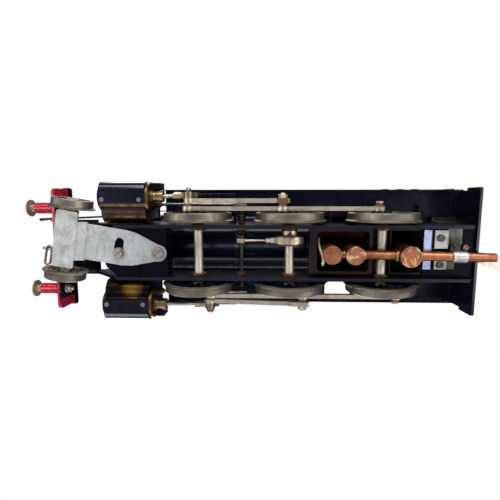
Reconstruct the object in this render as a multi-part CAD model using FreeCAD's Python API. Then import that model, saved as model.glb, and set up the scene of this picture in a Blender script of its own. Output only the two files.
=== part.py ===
import FreeCAD, Part
import math
import os

# Model steam locomotive (2-6-0) for 45 mm track, spirit fired. Millimetres.
# +X is forward, +Y is the engine's left, +Z is up. The origin lies on the centre line at rail-top level,
# below the middle driving axle.

V = FreeCAD.Vector
DOWN = (0, 0, -1)

# ---- running gear --------------------------------------------------------------------------------------
AXLE_SPACING = 60.0
DRIVER_R = 22.25
FLANGE_HEIGHT = 1.4
BACK_TO_BACK = 40.0
TYRE_WIDTH = 5.8
TYRE_THICKNESS = 2.75
AXLE_R = 2.8
BUSH_R = 4.0
RUNNING_CLEARANCE = 0.05
FITTING_GAP = 0.02
CRANK_THROW = 10.0
LEFT_CRANK_DEG = -60.0
RIGHT_CRANK_DEG = -150.0
CRANK_PIN_R = 1.6
COUPLING_ROD_Y = (27.2, 29.8)
CONNECTING_ROD_Y = (32.0, 34.8)
CONNECTING_ROD_LENGTH = 61.6

# ---- frames and platework ------------------------------------------------------------------------------
FRAME_Y = (16.0, 18.0)
FRAME_LOW_Z = 13.2
FRAME_TOP_Z = 50.9
FRAME_REAR_X = -119.4
BEAM_BACK_X = 157.8
BEAM_FRONT_X = 159.8
BEAM_HALF_WIDTH = 41.7
BEAM_LOW_Z = 26.0
BEAM_TOP_Z = 43.0
BOARD_Y = (21.6, 41.2)
BOARD_Z = (51.0, 52.2)
BOARD_X = (-124.0, 88.4)
BOARD_SCREW_X = (-112.0, -70.0, -26.0, 18.0, 62.0)
DRAG_BEAM_X = (-121.2, -119.5)

# ---- cylinders and motion ------------------------------------------------------------------------------
CYLINDER_Y = 36.2
CYLINDER_X = (92.2, 121.5)
CASTING_Y = 35.4
CYLINDER_SADDLE_X = (96.0, 119.5)
CASTING_R = 9.3
REAR_COVER_X = (90.2, 92.2)
REAR_COVER_R = 9.9
BORE_R = 6.5
PISTON_THICKNESS = 4.5
PISTON_ROD_R = 1.2
GUDGEON_TO_PISTON = 45.9
SLIDE_BAR_Y = (35.8, 38.0)
SLIDE_BAR_Z = (29.0, 31.2)
VALVE_ROD_Y = 30.9
VALVE_ROD_Z = 38.0
VALVE_ROD_R = 0.9
ROCKER_X = 31.5
ROCKER_Z = 25.0
ROCKER_SHAFT_R = 1.0
ROCKER_PIN_R = 1.1
ECCENTRIC_OFFSET = (1.0, -2.8)
ECCENTRIC_R = 8.0
ECCENTRIC_ROD_END_Z = 14.0

# ---- pony truck ----------------------------------------------------------------------------------------
PONY_PIVOT_X = 84.4
PONY_AXLE_AHEAD = 58.3
PONY_WHEEL_R = 12.5
PONY_AXLE_R = 2.0
PONY_SWING_DEG = 9.0
PONY_SLOT_RADIUS = 25.6
PONY_SLOT_HALF_DEG = 6.9
PONY_SLOT_R = 2.9
PONY_PLATE_Z = (12.0, 13.2)
PONY_CROSS_Z = (8.2, 9.4)

# ---- boiler and superstructure -------------------------------------------------------------------------
BOILER_Z = 78.0
BOILER_R = 24.0
BOILER_X = (-18.0, 91.4)
SMOKEBOX_R = 25.5
SMOKEBOX_X = (91.4, 127.0)
FIREBOX_X = (-90.0, -18.2)
FIREBOX_HALF_WIDTH = 25.5
CAB_X = (-121.0, -76.0)
CAB_HALF_WIDTH = 40.0
CAB_EAVE_Z = 103.0

# ---- burner --------------------------------------------------------------------------------------------
BURNER_TUBE_R = 3.0
BURNER_TUBE_Z = 14.5
BURNER_TUBE_END_X = -128.7
WICK_POTS = ((-26.0, 5.85), (-40.3, 5.85), (-74.4, 6.6))
BURNER_TURN_DEG = 1.03
BURNER_SHIFT_Y = -0.35
BURNER_SPIGOT_R = 2.8
BURNER_SPIGOT_LENGTH = 7.0
BURNER_LINK_R = 1.7
POT_Z = (8.6, 28.0)

# ---- buffers, coupling and drawbar ---------------------------------------------------------------------
BUFFER_Y = 28.3
BUFFER_Z = 32.8
BUFFER_HEAD_R = 5.9
BUFFER_HEAD_X = 179.6
BUFFER_STOCK_R = 3.75
BUFFER_STOCK_END_X = 173.8
BUFFER_STEM_R = 2.2
BUFFER_TAIL_R = 1.2
HOOK_EYE_X = 165.2
DRAWBAR_PIVOT_X = -112.0
DRAWBAR_LENGTH = 33.0
DRAWBAR_SWING_DEG = -19.5
DRAWBAR_Z = (24.4, 25.6)
DRAWBAR_EYE_R = 1.6

# ---- derived places and smaller dimensions -------------------------------------------------------------
AXLE_Z = DRIVER_R
AXLE_X = (AXLE_SPACING, 0.0, -AXLE_SPACING)
TYRE_Y = (BACK_TO_BACK / 2, BACK_TO_BACK / 2 + TYRE_WIDTH)
TYRE_INNER_R = DRIVER_R - TYRE_THICKNESS
FLANGE_WIDTH = 1.2
WRAPPER_SHEET = 0.7
WRAPPER_BOTTOM_Z = 12.2
WRAPPER_TOP_Z = 50.4
WRAPPER_OUT_Y = 45.5
WRAPPER_X = (CYLINDER_X[0] + 0.3, CYLINDER_X[1] + 0.2)
WRAPPER_SCREW_POINTS = [(x, 34.0, WRAPPER_BOTTOM_Z) for x in (95.6, 119.4)]
WRAPPER_SHANK_R = 0.7
WRAPPER_SHANK = 2.4
ROCKER_BUSH_R = 2.1
GUIDE_SCREW_X = PONY_PIVOT_X + PONY_SLOT_RADIUS
STRETCHER_Z = (15.5, 17.5)
PIVOT_SHANK_R = 1.7
GUIDE_SHANK_R = 1.5
CHIMNEY_X = 110.0
DOME_X = 10.0
BLAST_PIPE_R = 2.5
DRAWBAR_PIN_R = 1.4
PLATE_SCREW_POINT = (-113.6, 3.4, 22.0)
PLATE_SHANK_R = 0.6
REAR_SCREW_Y = (9.6, -7.8)
REAR_SCREW_X = -96.6
BLOCK_SCREW_R = 0.8
LINK_R = 0.8
LINK_DROOP_DEG = 20.0
DOOR_R = 18.0
DOOR_HINGE_Y = 20.4
BURNER_BOX_X = (-87.4, -15.7)
BURNER_BOX_Z = (24.0, 52.0)
BRIDGE_X = (-66.0, -55.0)
CLIP_TAB_Z = 20.55
CLIP_SHANK_R = 0.9
CLIP_SCREW_POINT = (-106.0, 5.0, CLIP_TAB_Z - 1.0)
SAFETY_VALVE_X = -38.0
ROOF_RISE = 9.0
BACKHEAD_X = (-91.2, -90.0)
REGULATOR_PIVOT = (0.0, 92.0)


# ---- shape helpers -------------------------------------------------------------------------------------
def box(x, y, z):
    return Part.makeBox(x[1] - x[0], y[1] - y[0], z[1] - z[0], V(x[0], y[0], z[0]))


def rod_x(x, y, z, r):
    return Part.makeCylinder(r, x[1] - x[0], V(x[0], y, z), V(1, 0, 0))


def rod_y(x, y, z, r):
    return Part.makeCylinder(r, y[1] - y[0], V(x, y[0], z), V(0, 1, 0))


def rod_z(x, y, z, r):
    return Part.makeCylinder(r, z[1] - z[0], V(x, y, z[0]), V(0, 0, 1))


def hex_y(x, y, z, across_corners_r):
    corners = [
        (x + across_corners_r * math.cos(math.radians(60 * i)),
         z + across_corners_r * math.sin(math.radians(60 * i)))
        for i in range(6)
    ]
    return prism_y(corners, y)


def hex_x(x, y, z, across_corners_r):
    corners = [
        (y + across_corners_r * math.cos(math.radians(60 * i)),
         z + across_corners_r * math.sin(math.radians(60 * i)))
        for i in range(6)
    ]
    return prism_x(corners, x)


def face_of(points):
    return Part.Face(Part.makePolygon(points + [points[0]]))


def prism_y(xz_points, y):
    face = face_of([V(px, y[0], pz) for px, pz in xz_points])
    return face.extrude(V(0, y[1] - y[0], 0))


def prism_z(xy_points, z):
    face = face_of([V(px, py, z[0]) for px, py in xy_points])
    return face.extrude(V(0, 0, z[1] - z[0]))


def prism_x(yz_points, x):
    face = face_of([V(x[0], py, pz) for py, pz in yz_points])
    return face.extrude(V(x[1] - x[0], 0, 0))


def turned_y(profile, x, z):
    """A solid turned about the Y-parallel axis through (x, z); the profile is (radius, y) points."""
    face = face_of([V(x + radius, py, z) for radius, py in profile])
    return face.revolve(V(x, 0, z), V(0, 1, 0), 360)


def turned_x(profile, y, z):
    """A solid turned about the X-parallel axis through (y, z); the profile is (x, radius) points."""
    face = face_of([V(px, y, z + radius) for px, radius in profile])
    return face.revolve(V(0, y, z), V(1, 0, 0), 360)


def turned_z(profile, x, y):
    """A solid turned about the vertical axis through (x, y); the profile is (radius, z) points."""
    face = face_of([V(x + radius, y, pz) for radius, pz in profile])
    return face.revolve(V(x, y, 0), V(0, 0, 1), 360)


def fuse(*shapes):
    return shapes[0].multiFuse(list(shapes[1:])).removeSplitter()


def cut(shape, *tools):
    return shape.cut(list(tools))


def mirrored(shape):
    copy = shape.mirror(V(0, 0, 0), V(0, 1, 0))
    if copy.Volume < 0:
        copy.reverse()
    return copy


def pair(shape):
    return [shape, mirrored(shape)]


def turned_about_z(shape, x, degrees):
    copy = shape.copy()
    copy.rotate(V(x, 0, 0), V(0, 0, 1), degrees)
    return copy


def rounded(shape, radius, choose):
    edges = [e for e in shape.Edges if choose(e)]
    return shape.makeFillet(radius, edges) if edges else shape


def vertical_edge(edge):
    a, b = edge.Vertexes[0].Point, edge.Vertexes[-1].Point
    return abs(a.x - b.x) < 1e-6 and abs(a.y - b.y) < 1e-6 and abs(a.z - b.z) > 1e-6


def across_x(edge):
    return abs(edge.Vertexes[0].X - edge.Vertexes[-1].X) > 1


def across_y(edge):
    return abs(edge.Vertexes[0].Y - edge.Vertexes[-1].Y) > 1


def export(name, *solids):
    flat = []
    for item in solids:
        flat += item if isinstance(item, list) else [item]
    shape = flat[0] if len(flat) == 1 else Part.makeCompound(flat)
    shape.exportStep("parts/" + name + ".step")


def screw(point, direction, head_r, head_h, shank_r, shank_length):
    """A slotted cheese-head screw: its head stands out along direction, its shank goes the other way."""
    n = V(*direction)
    p = V(*point)
    head = Part.makeCylinder(head_r, head_h, p, n)
    side = V(0, 0, 1).cross(n) if abs(n.z) < 0.5 else V(1, 0, 0)
    slot = Part.makeBox(4 * head_r, 0.35, head_h * 0.5)
    slot.translate(V(-2 * head_r, -0.175, head_h * 0.55))
    slot.rotate(V(0, 0, 0), V(0, 0, 1), 35)
    slot.Placement = FreeCAD.Placement(p, FreeCAD.Rotation(side, n.cross(side), n, "ZXY")).multiply(
        slot.Placement
    )
    shank = Part.makeCylinder(shank_r, shank_length, p - n * shank_length, n)
    return fuse(cut(head, slot), shank)


def shank_hole(point, direction, r, length):
    n = V(*direction)
    return Part.makeCylinder(r, length, V(*point) - n * length, n)


# ---- driving wheelsets ---------------------------------------------------------------------------------
def crank_offset(degrees):
    angle = math.radians(degrees)
    return CRANK_THROW * math.cos(angle), CRANK_THROW * math.sin(angle)


LEFT_CRANK = crank_offset(LEFT_CRANK_DEG)
RIGHT_CRANK = crank_offset(RIGHT_CRANK_DEG)


def tyre(x):
    flange_r = DRIVER_R + FLANGE_HEIGHT
    y0, y1 = TYRE_Y
    profile = [
        (TYRE_INNER_R, y0), (flange_r - 0.5, y0), (flange_r, y0 + 0.4), (flange_r, y0 + 0.8),
        (DRIVER_R + 0.25, y0 + FLANGE_WIDTH), (DRIVER_R, y0 + FLANGE_WIDTH + 0.4),
        (DRIVER_R - 0.12, y1 - 0.4), (DRIVER_R - 0.5, y1), (TYRE_INNER_R, y1),
    ]
    return turned_y(profile, x, AXLE_Z)


def wheel_centre(x, crank, weight_half_deg):
    """A spoked centre for the left side with its crank boss towards the crank offset."""
    y0 = TYRE_Y[0] + 0.3
    rim_y = (y0, y0 + 4.8)
    boss_y = (y0, 26.6)
    spoke_count = 14
    rim = cut(rod_y(x, rim_y, AXLE_Z, TYRE_INNER_R), rod_y(x, rim_y, AXLE_Z, TYRE_INNER_R - 2.1))
    hub = rod_y(x, boss_y, AXLE_Z, 5.2)
    crank_x, crank_z = x + crank[0], AXLE_Z + crank[1]
    crank_boss = rod_y(crank_x, boss_y, crank_z, 4.3)
    web = box((0, CRANK_THROW), (y0 + 0.4, 26.0), (-3.6, 3.6))
    crank_deg = math.degrees(math.atan2(crank[1], crank[0]))
    web.rotate(V(0, 0, 0), V(0, 1, 0), -crank_deg)
    web.translate(V(x, 0, AXLE_Z))
    pieces = [hub, crank_boss, web]
    for i in range(spoke_count):
        spoke = prism_y([(4, -1.25), (18.4, -0.8), (18.4, 0.8), (4, 1.25)], (y0 + 0.9, y0 + 3.7))
        spoke.rotate(V(0, 0, 0), V(0, 1, 0), -crank_deg - 360.0 * (i + 0.5) / spoke_count)
        spoke.translate(V(x, 0, AXLE_Z))
        pieces.append(spoke)
    weight_y = (y0 + 0.5, y0 + 4.5)
    annulus = cut(rod_y(0, weight_y, 0, 18.4), rod_y(0, (y0, y0 + 6), 0, 11.0))
    half_angle = math.radians(weight_half_deg)
    wedge = prism_y([(0, 0), (-30, -30 * math.tan(half_angle)), (-30, 30 * math.tan(half_angle))], weight_y)
    weight = annulus.common(wedge)
    weight.rotate(V(0, 0, 0), V(0, 1, 0), -crank_deg)
    weight.translate(V(x, 0, AXLE_Z))
    pieces.append(weight)
    whole = fuse(rim, *pieces)
    bored = cut(whole, rod_y(x, (10, 30), AXLE_Z, AXLE_R))
    return cut(bored, rod_y(crank_x, (22.0, 30), crank_z, CRANK_PIN_R))


def crank_pin(x, crank, end_y):
    """A crank pin with its collar against the boss and its retaining washer outside the rod."""
    px, pz = x + crank[0], AXLE_Z + crank[1]
    rod_out = COUPLING_ROD_Y[1]
    pin = rod_y(px, (22.0, end_y), pz, CRANK_PIN_R)
    collar = rod_y(px, (26.6, COUPLING_ROD_Y[0] - 0.1), pz, 2.6)
    if end_y > CONNECTING_ROD_Y[1]:
        nut = hex_y(px, (CONNECTING_ROD_Y[1] + 0.1, end_y - 0.9), pz, 2.9)
        return fuse(pin, collar, nut)
    washer = rod_y(px, (rod_out + 0.1, rod_out + 0.7), pz, 2.7)
    nut = hex_y(px, (rod_out + 0.7, end_y), pz, 2.3)
    return fuse(pin, collar, washer, nut)


def make_wheelset(name, x, pin_end, weight_half_deg, spacers):
    axle = rod_y(x, (-25.6, 25.6), AXLE_Z, AXLE_R)
    axle = axle.makeChamfer(0.4, [e for e in axle.Edges if e.Closed])
    left_pin = crank_pin(x, LEFT_CRANK, pin_end)
    right_pin = mirrored(crank_pin(x, RIGHT_CRANK, pin_end))
    export("axle_" + name, axle, left_pin, right_pin, spacers)
    left = wheel_centre(x, LEFT_CRANK, weight_half_deg)
    right = mirrored(wheel_centre(x, RIGHT_CRANK, weight_half_deg))
    export("wheels_" + name, left, right)
    export("tyres_" + name, pair(tyre(x)))


def make_eccentric():
    """The eccentric sheave between two flanges, and its set collar, on the middle axle."""
    ex, ez = ECCENTRIC_OFFSET[0], AXLE_Z + ECCENTRIC_OFFSET[1]
    flange_r = ECCENTRIC_R + 0.9
    collar_r = 5.3
    sheave = fuse(
        rod_y(ex, (5.0, 5.7), ez, flange_r),
        rod_y(ex, (5.7, 10.7), ez, ECCENTRIC_R),
        rod_y(ex, (10.7, 11.3), ez, flange_r),
    )
    collar = rod_y(0, (11.3, 14.0), AXLE_Z, collar_r)
    grub_hole = rod_z(0, 12.7, (AXLE_Z - collar_r, AXLE_Z - collar_r + 1.4), 0.9)
    bore = rod_y(0, (0, 20), AXLE_Z, AXLE_R)
    export("eccentric", cut(fuse(sheave, collar), bore, grub_hole))


def make_eccentric_strap():
    """A split strap round the sheave, and its rod, whose eye runs beside the rocker arm."""
    ex, ez = ECCENTRIC_OFFSET[0], AXLE_Z + ECCENTRIC_OFFSET[1]
    y = (6.2, 10.5)
    middle_y = 8.2
    strap_r = ECCENTRIC_R + 2.0
    ear_reach = ECCENTRIC_R + 3.6
    length = math.hypot(ROCKER_X - ex, ECCENTRIC_ROD_END_Z - ez)
    tilt = math.degrees(math.atan2(ECCENTRIC_ROD_END_Z - ez, ROCKER_X - ex))
    ring = rod_y(ex, y, ez, strap_r)
    lug = box((8.0, 12.0), (6.6, 9.8), (-2.4, 2.4))
    nut = hex_x((12.0, 14.4), middle_y, 0, 2.2)
    washer = rod_x((14.4, 15.0), middle_y, 0, 1.7)
    stem = rod_x((12, length - 2), middle_y, 0, 0.7)
    eye = rod_y(length, (7.0, 9.4), 0, 2.7)
    ears = box((-1.3, 1.3), (6.6, 9.8), (-ear_reach, ear_reach))
    bolts = [rod_x((-2.2, 2.2), middle_y, side * (ear_reach - 0.9), 0.6) for side in (-1, 1)]
    arm = fuse(lug, nut, washer, stem, eye, ears, *bolts)
    arm.rotate(V(0, 0, 0), V(0, 1, 0), -tilt)
    arm.translate(V(ex, 0, ez))
    sheave_hole = rod_y(ex, (0, 20), ez, ECCENTRIC_R + RUNNING_CLEARANCE)
    export("eccentric_strap", cut(fuse(ring, arm), sheave_hole))


def make_rocker_shaft():
    """The cross shaft: an inner arm by the eccentric rod, an outer arm with a long pin on each end."""
    shaft = rod_y(ROCKER_X, (-24.0, 24.0), ROCKER_Z, ROCKER_SHAFT_R)
    inner_hub = rod_y(ROCKER_X, (9.6, 12.6), ROCKER_Z, 2.6)
    inner_end = rod_y(ROCKER_X, (9.6, 11.6), ECCENTRIC_ROD_END_Z, 2.4)
    inner_arm = box((ROCKER_X - 1.7, ROCKER_X + 1.7), (9.6, 11.6), (ECCENTRIC_ROD_END_Z, ROCKER_Z))
    collar = rod_y(ROCKER_X, (12.6, 14.0), ROCKER_Z, 2.4)
    pieces = [shaft, inner_hub, inner_end, inner_arm, collar]
    outer = fuse(
        rod_y(ROCKER_X, (20.8, 23.8), ROCKER_Z, 2.6),
        box((ROCKER_X - 1.8, ROCKER_X + 1.8), (21.0, 23.0), (ROCKER_Z, VALVE_ROD_Z)),
        rod_y(ROCKER_X, (21.0, 23.0), VALVE_ROD_Z, 2.1),
        rod_y(ROCKER_X, (23.0, 31.8), VALVE_ROD_Z, ROCKER_PIN_R),
    )
    export("rocker_shaft", fuse(*pieces, *pair(outer)))


# ---- rods, crossheads and valve spindles ---------------------------------------------------------------
def make_coupling_rods():
    y = COUPLING_ROD_Y
    for name, crank, flip in (("left", LEFT_CRANK, False), ("right", RIGHT_CRANK, True)):
        cx, cz = crank[0], AXLE_Z + crank[1]
        ends = [rod_y(cx + x, y, cz, 3.5) for x in (AXLE_X[0], AXLE_X[2])]
        middle = rod_y(cx, y, cz, 4.1)
        bar = box((cx + AXLE_X[2], cx + AXLE_X[0]), y, (cz - 1.9, cz + 1.9))
        oil_cups = [rod_z(cx + x, sum(y) / 2, (cz + 3, cz + 4.8), 0.8) for x in AXLE_X]
        rod = fuse(bar, middle, *ends, *oil_cups)
        flutes = [
            box((cx + a + 6.5, cx + a + 53.5), (y[1] - 0.5, y[1] + 1), (cz - 1.1, cz + 1.1))
            for a in (AXLE_X[1], AXLE_X[2])
        ]
        holes = [rod_y(cx + x, (20, 40), cz, CRANK_PIN_R + RUNNING_CLEARANCE) for x in AXLE_X]
        rod = cut(rod, *flutes, *holes)
        export("coupling_rod_" + name, mirrored(rod) if flip else rod)


def gudgeon_x(crank):
    return crank[0] + math.sqrt(CONNECTING_ROD_LENGTH ** 2 - crank[1] ** 2)


def make_connecting_rods():
    """Each rod has a square big end and a round small end; the small end runs beside the crosshead.

    Returns the two spacers that stand between the coupling and connecting rods on the crank pins.
    """
    spacers = []
    y = CONNECTING_ROD_Y
    length = CONNECTING_ROD_LENGTH
    for name, crank, flip in (("left", LEFT_CRANK, False), ("right", RIGHT_CRANK, True)):
        bar = prism_y([(3, -2.5), (length - 3, -1.7), (length - 3, 1.7), (3, 2.5)], y)
        big = box((-4.4, 8.6), y, (-3.7, 3.7))
        big = rounded(big, 1.0, across_y)
        small = rod_y(length, y, 0, 3.4)
        cup = rod_z(0, sum(y) / 2, (3.6, 5.2), 0.9)
        flute = prism_y(
            [(12, -1.3), (length - 8, -0.8), (length - 8, 0.8), (12, 1.3)], (y[1] - 0.5, y[1] + 1)
        )
        cotter = box((5.2, 6.0), (y[0] - 1, y[1] + 1), (-1.6, 1.6))
        rod = cut(fuse(bar, big, small, cup), flute, cotter)
        rod = cut(rod, rod_y(0, (30, 40), 0, CRANK_PIN_R + RUNNING_CLEARANCE))
        lean = math.degrees(math.asin(-crank[1] / length))
        rod.rotate(V(0, 0, 0), V(0, 1, 0), -lean)
        rod.translate(V(crank[0], 0, AXLE_Z + crank[1]))
        spacer = cut(
            rod_y(crank[0], (COUPLING_ROD_Y[1] + 0.1, y[0] - 0.1), AXLE_Z + crank[1], 2.9),
            rod_y(crank[0], (20, 40), AXLE_Z + crank[1], CRANK_PIN_R),
        )
        export("connecting_rod_" + name, mirrored(rod) if flip else rod)
        spacers.append(mirrored(spacer) if flip else spacer)
    return spacers


def make_crossheads():
    """A guided block with its gudgeon nut, the lock nut on the piston rod, and the piston in one piece."""
    c = RUNNING_CLEARANCE
    inner_y = CONNECTING_ROD_Y[1] + 0.1
    y = (inner_y, 38.9)
    for name, crank, flip in (("left", LEFT_CRANK, False), ("right", RIGHT_CRANK, True)):
        gx = gudgeon_x(crank)
        slipper = box((gx - 5.2, gx + 5.2), y, (27.0, 33.0))
        body = fuse(box((gx - 2.9, gx + 3.0), y, (21.0, 27.0)), rod_y(gx, y, AXLE_Z, 3.1))
        neck = box((gx + 2.0, gx + 3.9), (inner_y, 37.8), (AXLE_Z - 1.7, AXLE_Z + 1.7))
        groove = box(
            (gx - 20, gx + 20),
            (SLIDE_BAR_Y[0] - c, SLIDE_BAR_Y[1] + c),
            (SLIDE_BAR_Z[0] - c, SLIDE_BAR_Z[1] + c),
        )
        gudgeon = fuse(
            rod_y(gx, (38.0, 41.2), AXLE_Z, 1.3),
            hex_y(gx, (38.9, 40.4), AXLE_Z, 2.5),
            turned_y([(0, 40.4), (1.9, 40.4), (1.7, 41.2), (0.9, 41.9), (0, 42.1)], gx, AXLE_Z),
        )
        beyond_rod = box((gx - 10, gx + 20), (inner_y, 60), (0, 60))
        lock_nut = fuse(
            hex_x((gx + 4.6, gx + 9.4), CYLINDER_Y, AXLE_Z, 2.7),
            rod_x((gx + 3.7, gx + 4.6), CYLINDER_Y, AXLE_Z, 1.6),
            rod_x((gx + 9.4, gx + 10.2), CYLINDER_Y, AXLE_Z, 2.1),
        ).common(beyond_rod)
        piston_x = gx + GUDGEON_TO_PISTON
        piston_rod = rod_x((gx + 2.5, piston_x), CYLINDER_Y, AXLE_Z, PISTON_ROD_R)
        half = PISTON_THICKNESS / 2
        piston = rod_x((piston_x - half, piston_x + half), CYLINDER_Y, AXLE_Z, BORE_R - c)
        ring_groove = cut(
            rod_x((piston_x - 0.6, piston_x + 0.6), CYLINDER_Y, AXLE_Z, BORE_R + 1),
            rod_x((piston_x - 1, piston_x + 1), CYLINDER_Y, AXLE_Z, BORE_R - 0.6),
        )
        block = cut(fuse(slipper, body, neck), groove)
        head = fuse(block, gudgeon, lock_nut, piston_rod, cut(piston, ring_groove))
        export("crosshead_" + name, mirrored(head) if flip else head)


def make_valve_spindles():
    """Each spindle has a slotted eye round the rocker pin, and its slide valve in the steam chest."""
    slot_clear = 0.15
    eye_y = (VALVE_ROD_Y - 0.9, VALVE_ROD_Y + 0.9)
    r = ROCKER_PIN_R + slot_clear
    eye = box((ROCKER_X - 3.0, ROCKER_X + 3.4), eye_y, (VALVE_ROD_Z - 3.0, VALVE_ROD_Z + 2.6))
    slot = box((ROCKER_X - r, ROCKER_X + r), (20, 40), (VALVE_ROD_Z - 2.0, VALVE_ROD_Z + 1.5))
    rod = rod_x((ROCKER_X + 3, 110.0), VALVE_ROD_Y, VALVE_ROD_Z, VALVE_ROD_R)
    fork_nut = hex_x((ROCKER_X + 3.4, ROCKER_X + 6.4), VALVE_ROD_Y, VALVE_ROD_Z, 1.05)
    valve = box((103.5, 112.5), (VALVE_ROD_Y - 2.6, VALVE_ROD_Y + 2.6), (35.4, 40.4))
    export("valve_spindles", pair(fuse(cut(eye, slot), rod, fork_nut, valve)))


def make_slide_bars():
    """The guide block behind each cylinder, the slide bar that it carries, and the motion bracket.

    The bracket is a plate from the frame that hangs the bar's rear end, clear of the rods' sweep.
    """
    block_x = (84.6, REAR_COVER_X[0] - 0.1)
    block = prism_x(
        [(34.9, 27.6), (41.4, 27.6), (41.4, 23.0), (44.9, 23.0), (44.9, 33.4), (34.9, 33.4)], block_x
    )
    bar = box((36.0, block_x[0]), SLIDE_BAR_Y, SLIDE_BAR_Z)
    plate_x = (36.2, 38.0)
    frame_side = FRAME_Y[1] + FITTING_GAP
    outline = [(frame_side, 41.2), (38.0, 41.2), (38.0, 45.0), (32.0, 50.8), (frame_side, 50.8)]
    plate = prism_x(outline, plate_x)
    hanger = box(plate_x, SLIDE_BAR_Y, (SLIDE_BAR_Z[1], 41.5))
    foot = box((36.2, 41.5), (frame_side, 19.4), (41.2, 50.8))
    export("slide_bars", pair(fuse(block, bar)), pair(fuse(plate, hanger, foot)))


# ---- cylinders -----------------------------------------------------------------------------------------
def make_cylinders():
    """Each casting is a plain barrel on a saddle to the frame, with a steam chest over it."""
    inner_y = FRAME_Y[1] + FITTING_GAP
    x0, x1 = CYLINDER_X
    barrel = rod_x(CYLINDER_X, CASTING_Y, AXLE_Z, CASTING_R)
    belly_r = 8.6
    belly = rod_x((x0 + 0.3, x1 - 0.5), inner_y + belly_r + 0.3, AXLE_Z + 0.9, belly_r)
    saddle = box(CYLINDER_SADDLE_X, (inner_y, CASTING_Y), (20.0, 44.0))
    chest = box((x0 + 1, x1 - 1), (21.0, 42.0), (29.5, 48.4))
    bore = rod_x((80, 130), CYLINDER_Y, AXLE_Z, BORE_R)
    cavity = box((97.5, 118.5), (27.4, 34.4), (33.6, 43.2))
    spindle_hole = rod_x((80, 99), VALVE_ROD_Y, VALVE_ROD_Z, VALVE_ROD_R + RUNNING_CLEARANCE)
    block = cut(fuse(barrel, belly, saddle, chest), bore, cavity, spindle_hole, *wrapper_screw_holes())
    export("cylinder_blocks", pair(block))


def wrapper_screw_holes():
    return [shank_hole(p, DOWN, WRAPPER_SHANK_R, WRAPPER_SHANK) for p in WRAPPER_SCREW_POINTS]


def wrapper_section(inset):
    """The cladding's outline in the YZ plane, drawn inset from its outer face: bottom, side and top."""
    r = 6.5 - inset
    y_out, z_low = WRAPPER_OUT_Y - inset, WRAPPER_BOTTOM_Z + inset
    z_top = WRAPPER_TOP_Z - inset
    k = r * (1 - math.cos(math.pi / 4))
    return [
        V(0, 31.5, z_low), V(0, y_out - r, z_low), V(0, y_out - k, z_low + k), V(0, y_out, z_low + r),
        V(0, y_out, z_top - r), V(0, y_out - k, z_top - k), V(0, y_out - r, z_top), V(0, 19.5, z_top),
    ]


def wrapper_skin(p):
    return [
        Part.makeLine(p[0], p[1]),
        Part.Arc(p[1], p[2], p[3]).toShape(),
        Part.makeLine(p[3], p[4]),
        Part.Arc(p[4], p[5], p[6]).toShape(),
        Part.makeLine(p[6], p[7]),
    ]


def make_cylinder_wrappers():
    """A bent sheet round the outside of each cylinder and over its steam chest."""
    outer = wrapper_section(0.0)
    inner = wrapper_section(WRAPPER_SHEET)
    ends = [Part.makeLine(outer[7], inner[7]), Part.makeLine(inner[0], outer[0])]
    wire = Part.Wire(Part.__sortEdges__(wrapper_skin(outer) + wrapper_skin(inner) + ends))
    sheet = Part.Face(wire).extrude(V(WRAPPER_X[1] - WRAPPER_X[0], 0, 0))
    sheet.translate(V(WRAPPER_X[0], 0, 0))
    export("cylinder_wrappers", pair(cut(sheet, *wrapper_screw_holes())))


def make_cylinder_covers():
    """Turned front and rear covers and a flat chest cover; the rear one is bored for the piston rod."""
    x1 = CYLINDER_X[1]
    r = CASTING_R
    front = turned_x(
        [(x1, 0), (x1, r), (x1 + 0.9, r), (x1 + 1.7, r - 0.8), (x1 + 1.7, 2.6), (x1 + 2.7, 2.2),
         (x1 + 2.7, 0)],
        CASTING_Y, AXLE_Z,
    )
    back_x, face_x = REAR_COVER_X
    rear = turned_x(
        [(face_x, 0), (face_x, REAR_COVER_R), (back_x + 0.6, REAR_COVER_R), (back_x, REAR_COVER_R - 0.6),
         (back_x, 0)],
        CASTING_Y, AXLE_Z,
    )
    rear = cut(rear, rod_x((80, 100), CYLINDER_Y, AXLE_Z, PISTON_ROD_R + RUNNING_CLEARANCE))
    chest_cover = box((x1 - 1.0, x1 + 0.4), (22.0, 41.0), (32.0, 47.6))
    export("cylinder_covers", pair(front), pair(rear), pair(chest_cover))


def make_gland_nuts():
    """A turned gland with a flanged end round each piston rod, and a small one round each valve rod."""
    x = REAR_COVER_X[0]
    bore_r = PISTON_ROD_R + RUNNING_CLEARANCE
    gland = turned_x(
        [(x, bore_r), (x, 4.3), (x - 1.2, 4.3), (x - 1.2, 3.4), (x - 2.6, 3.4), (x - 3.0, 3.1),
         (x - 3.4, 3.4), (x - 5.4, 3.4), (x - 5.4, 3.8), (x - 7.8, 3.8), (x - 7.8, bore_r)],
        CYLINDER_Y, AXLE_Z,
    )
    valve_gland = cut(
        fuse(
            rod_x((x, CYLINDER_X[0] + 1), VALVE_ROD_Y, VALVE_ROD_Z, 2.4),
            hex_x((x - 2.0, x), VALVE_ROD_Y, VALVE_ROD_Z, 2.2),
        ),
        rod_x((80, 100), VALVE_ROD_Y, VALVE_ROD_Z, VALVE_ROD_R + RUNNING_CLEARANCE),
    )
    export("gland_nuts", pair(gland), pair(valve_gland))


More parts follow.
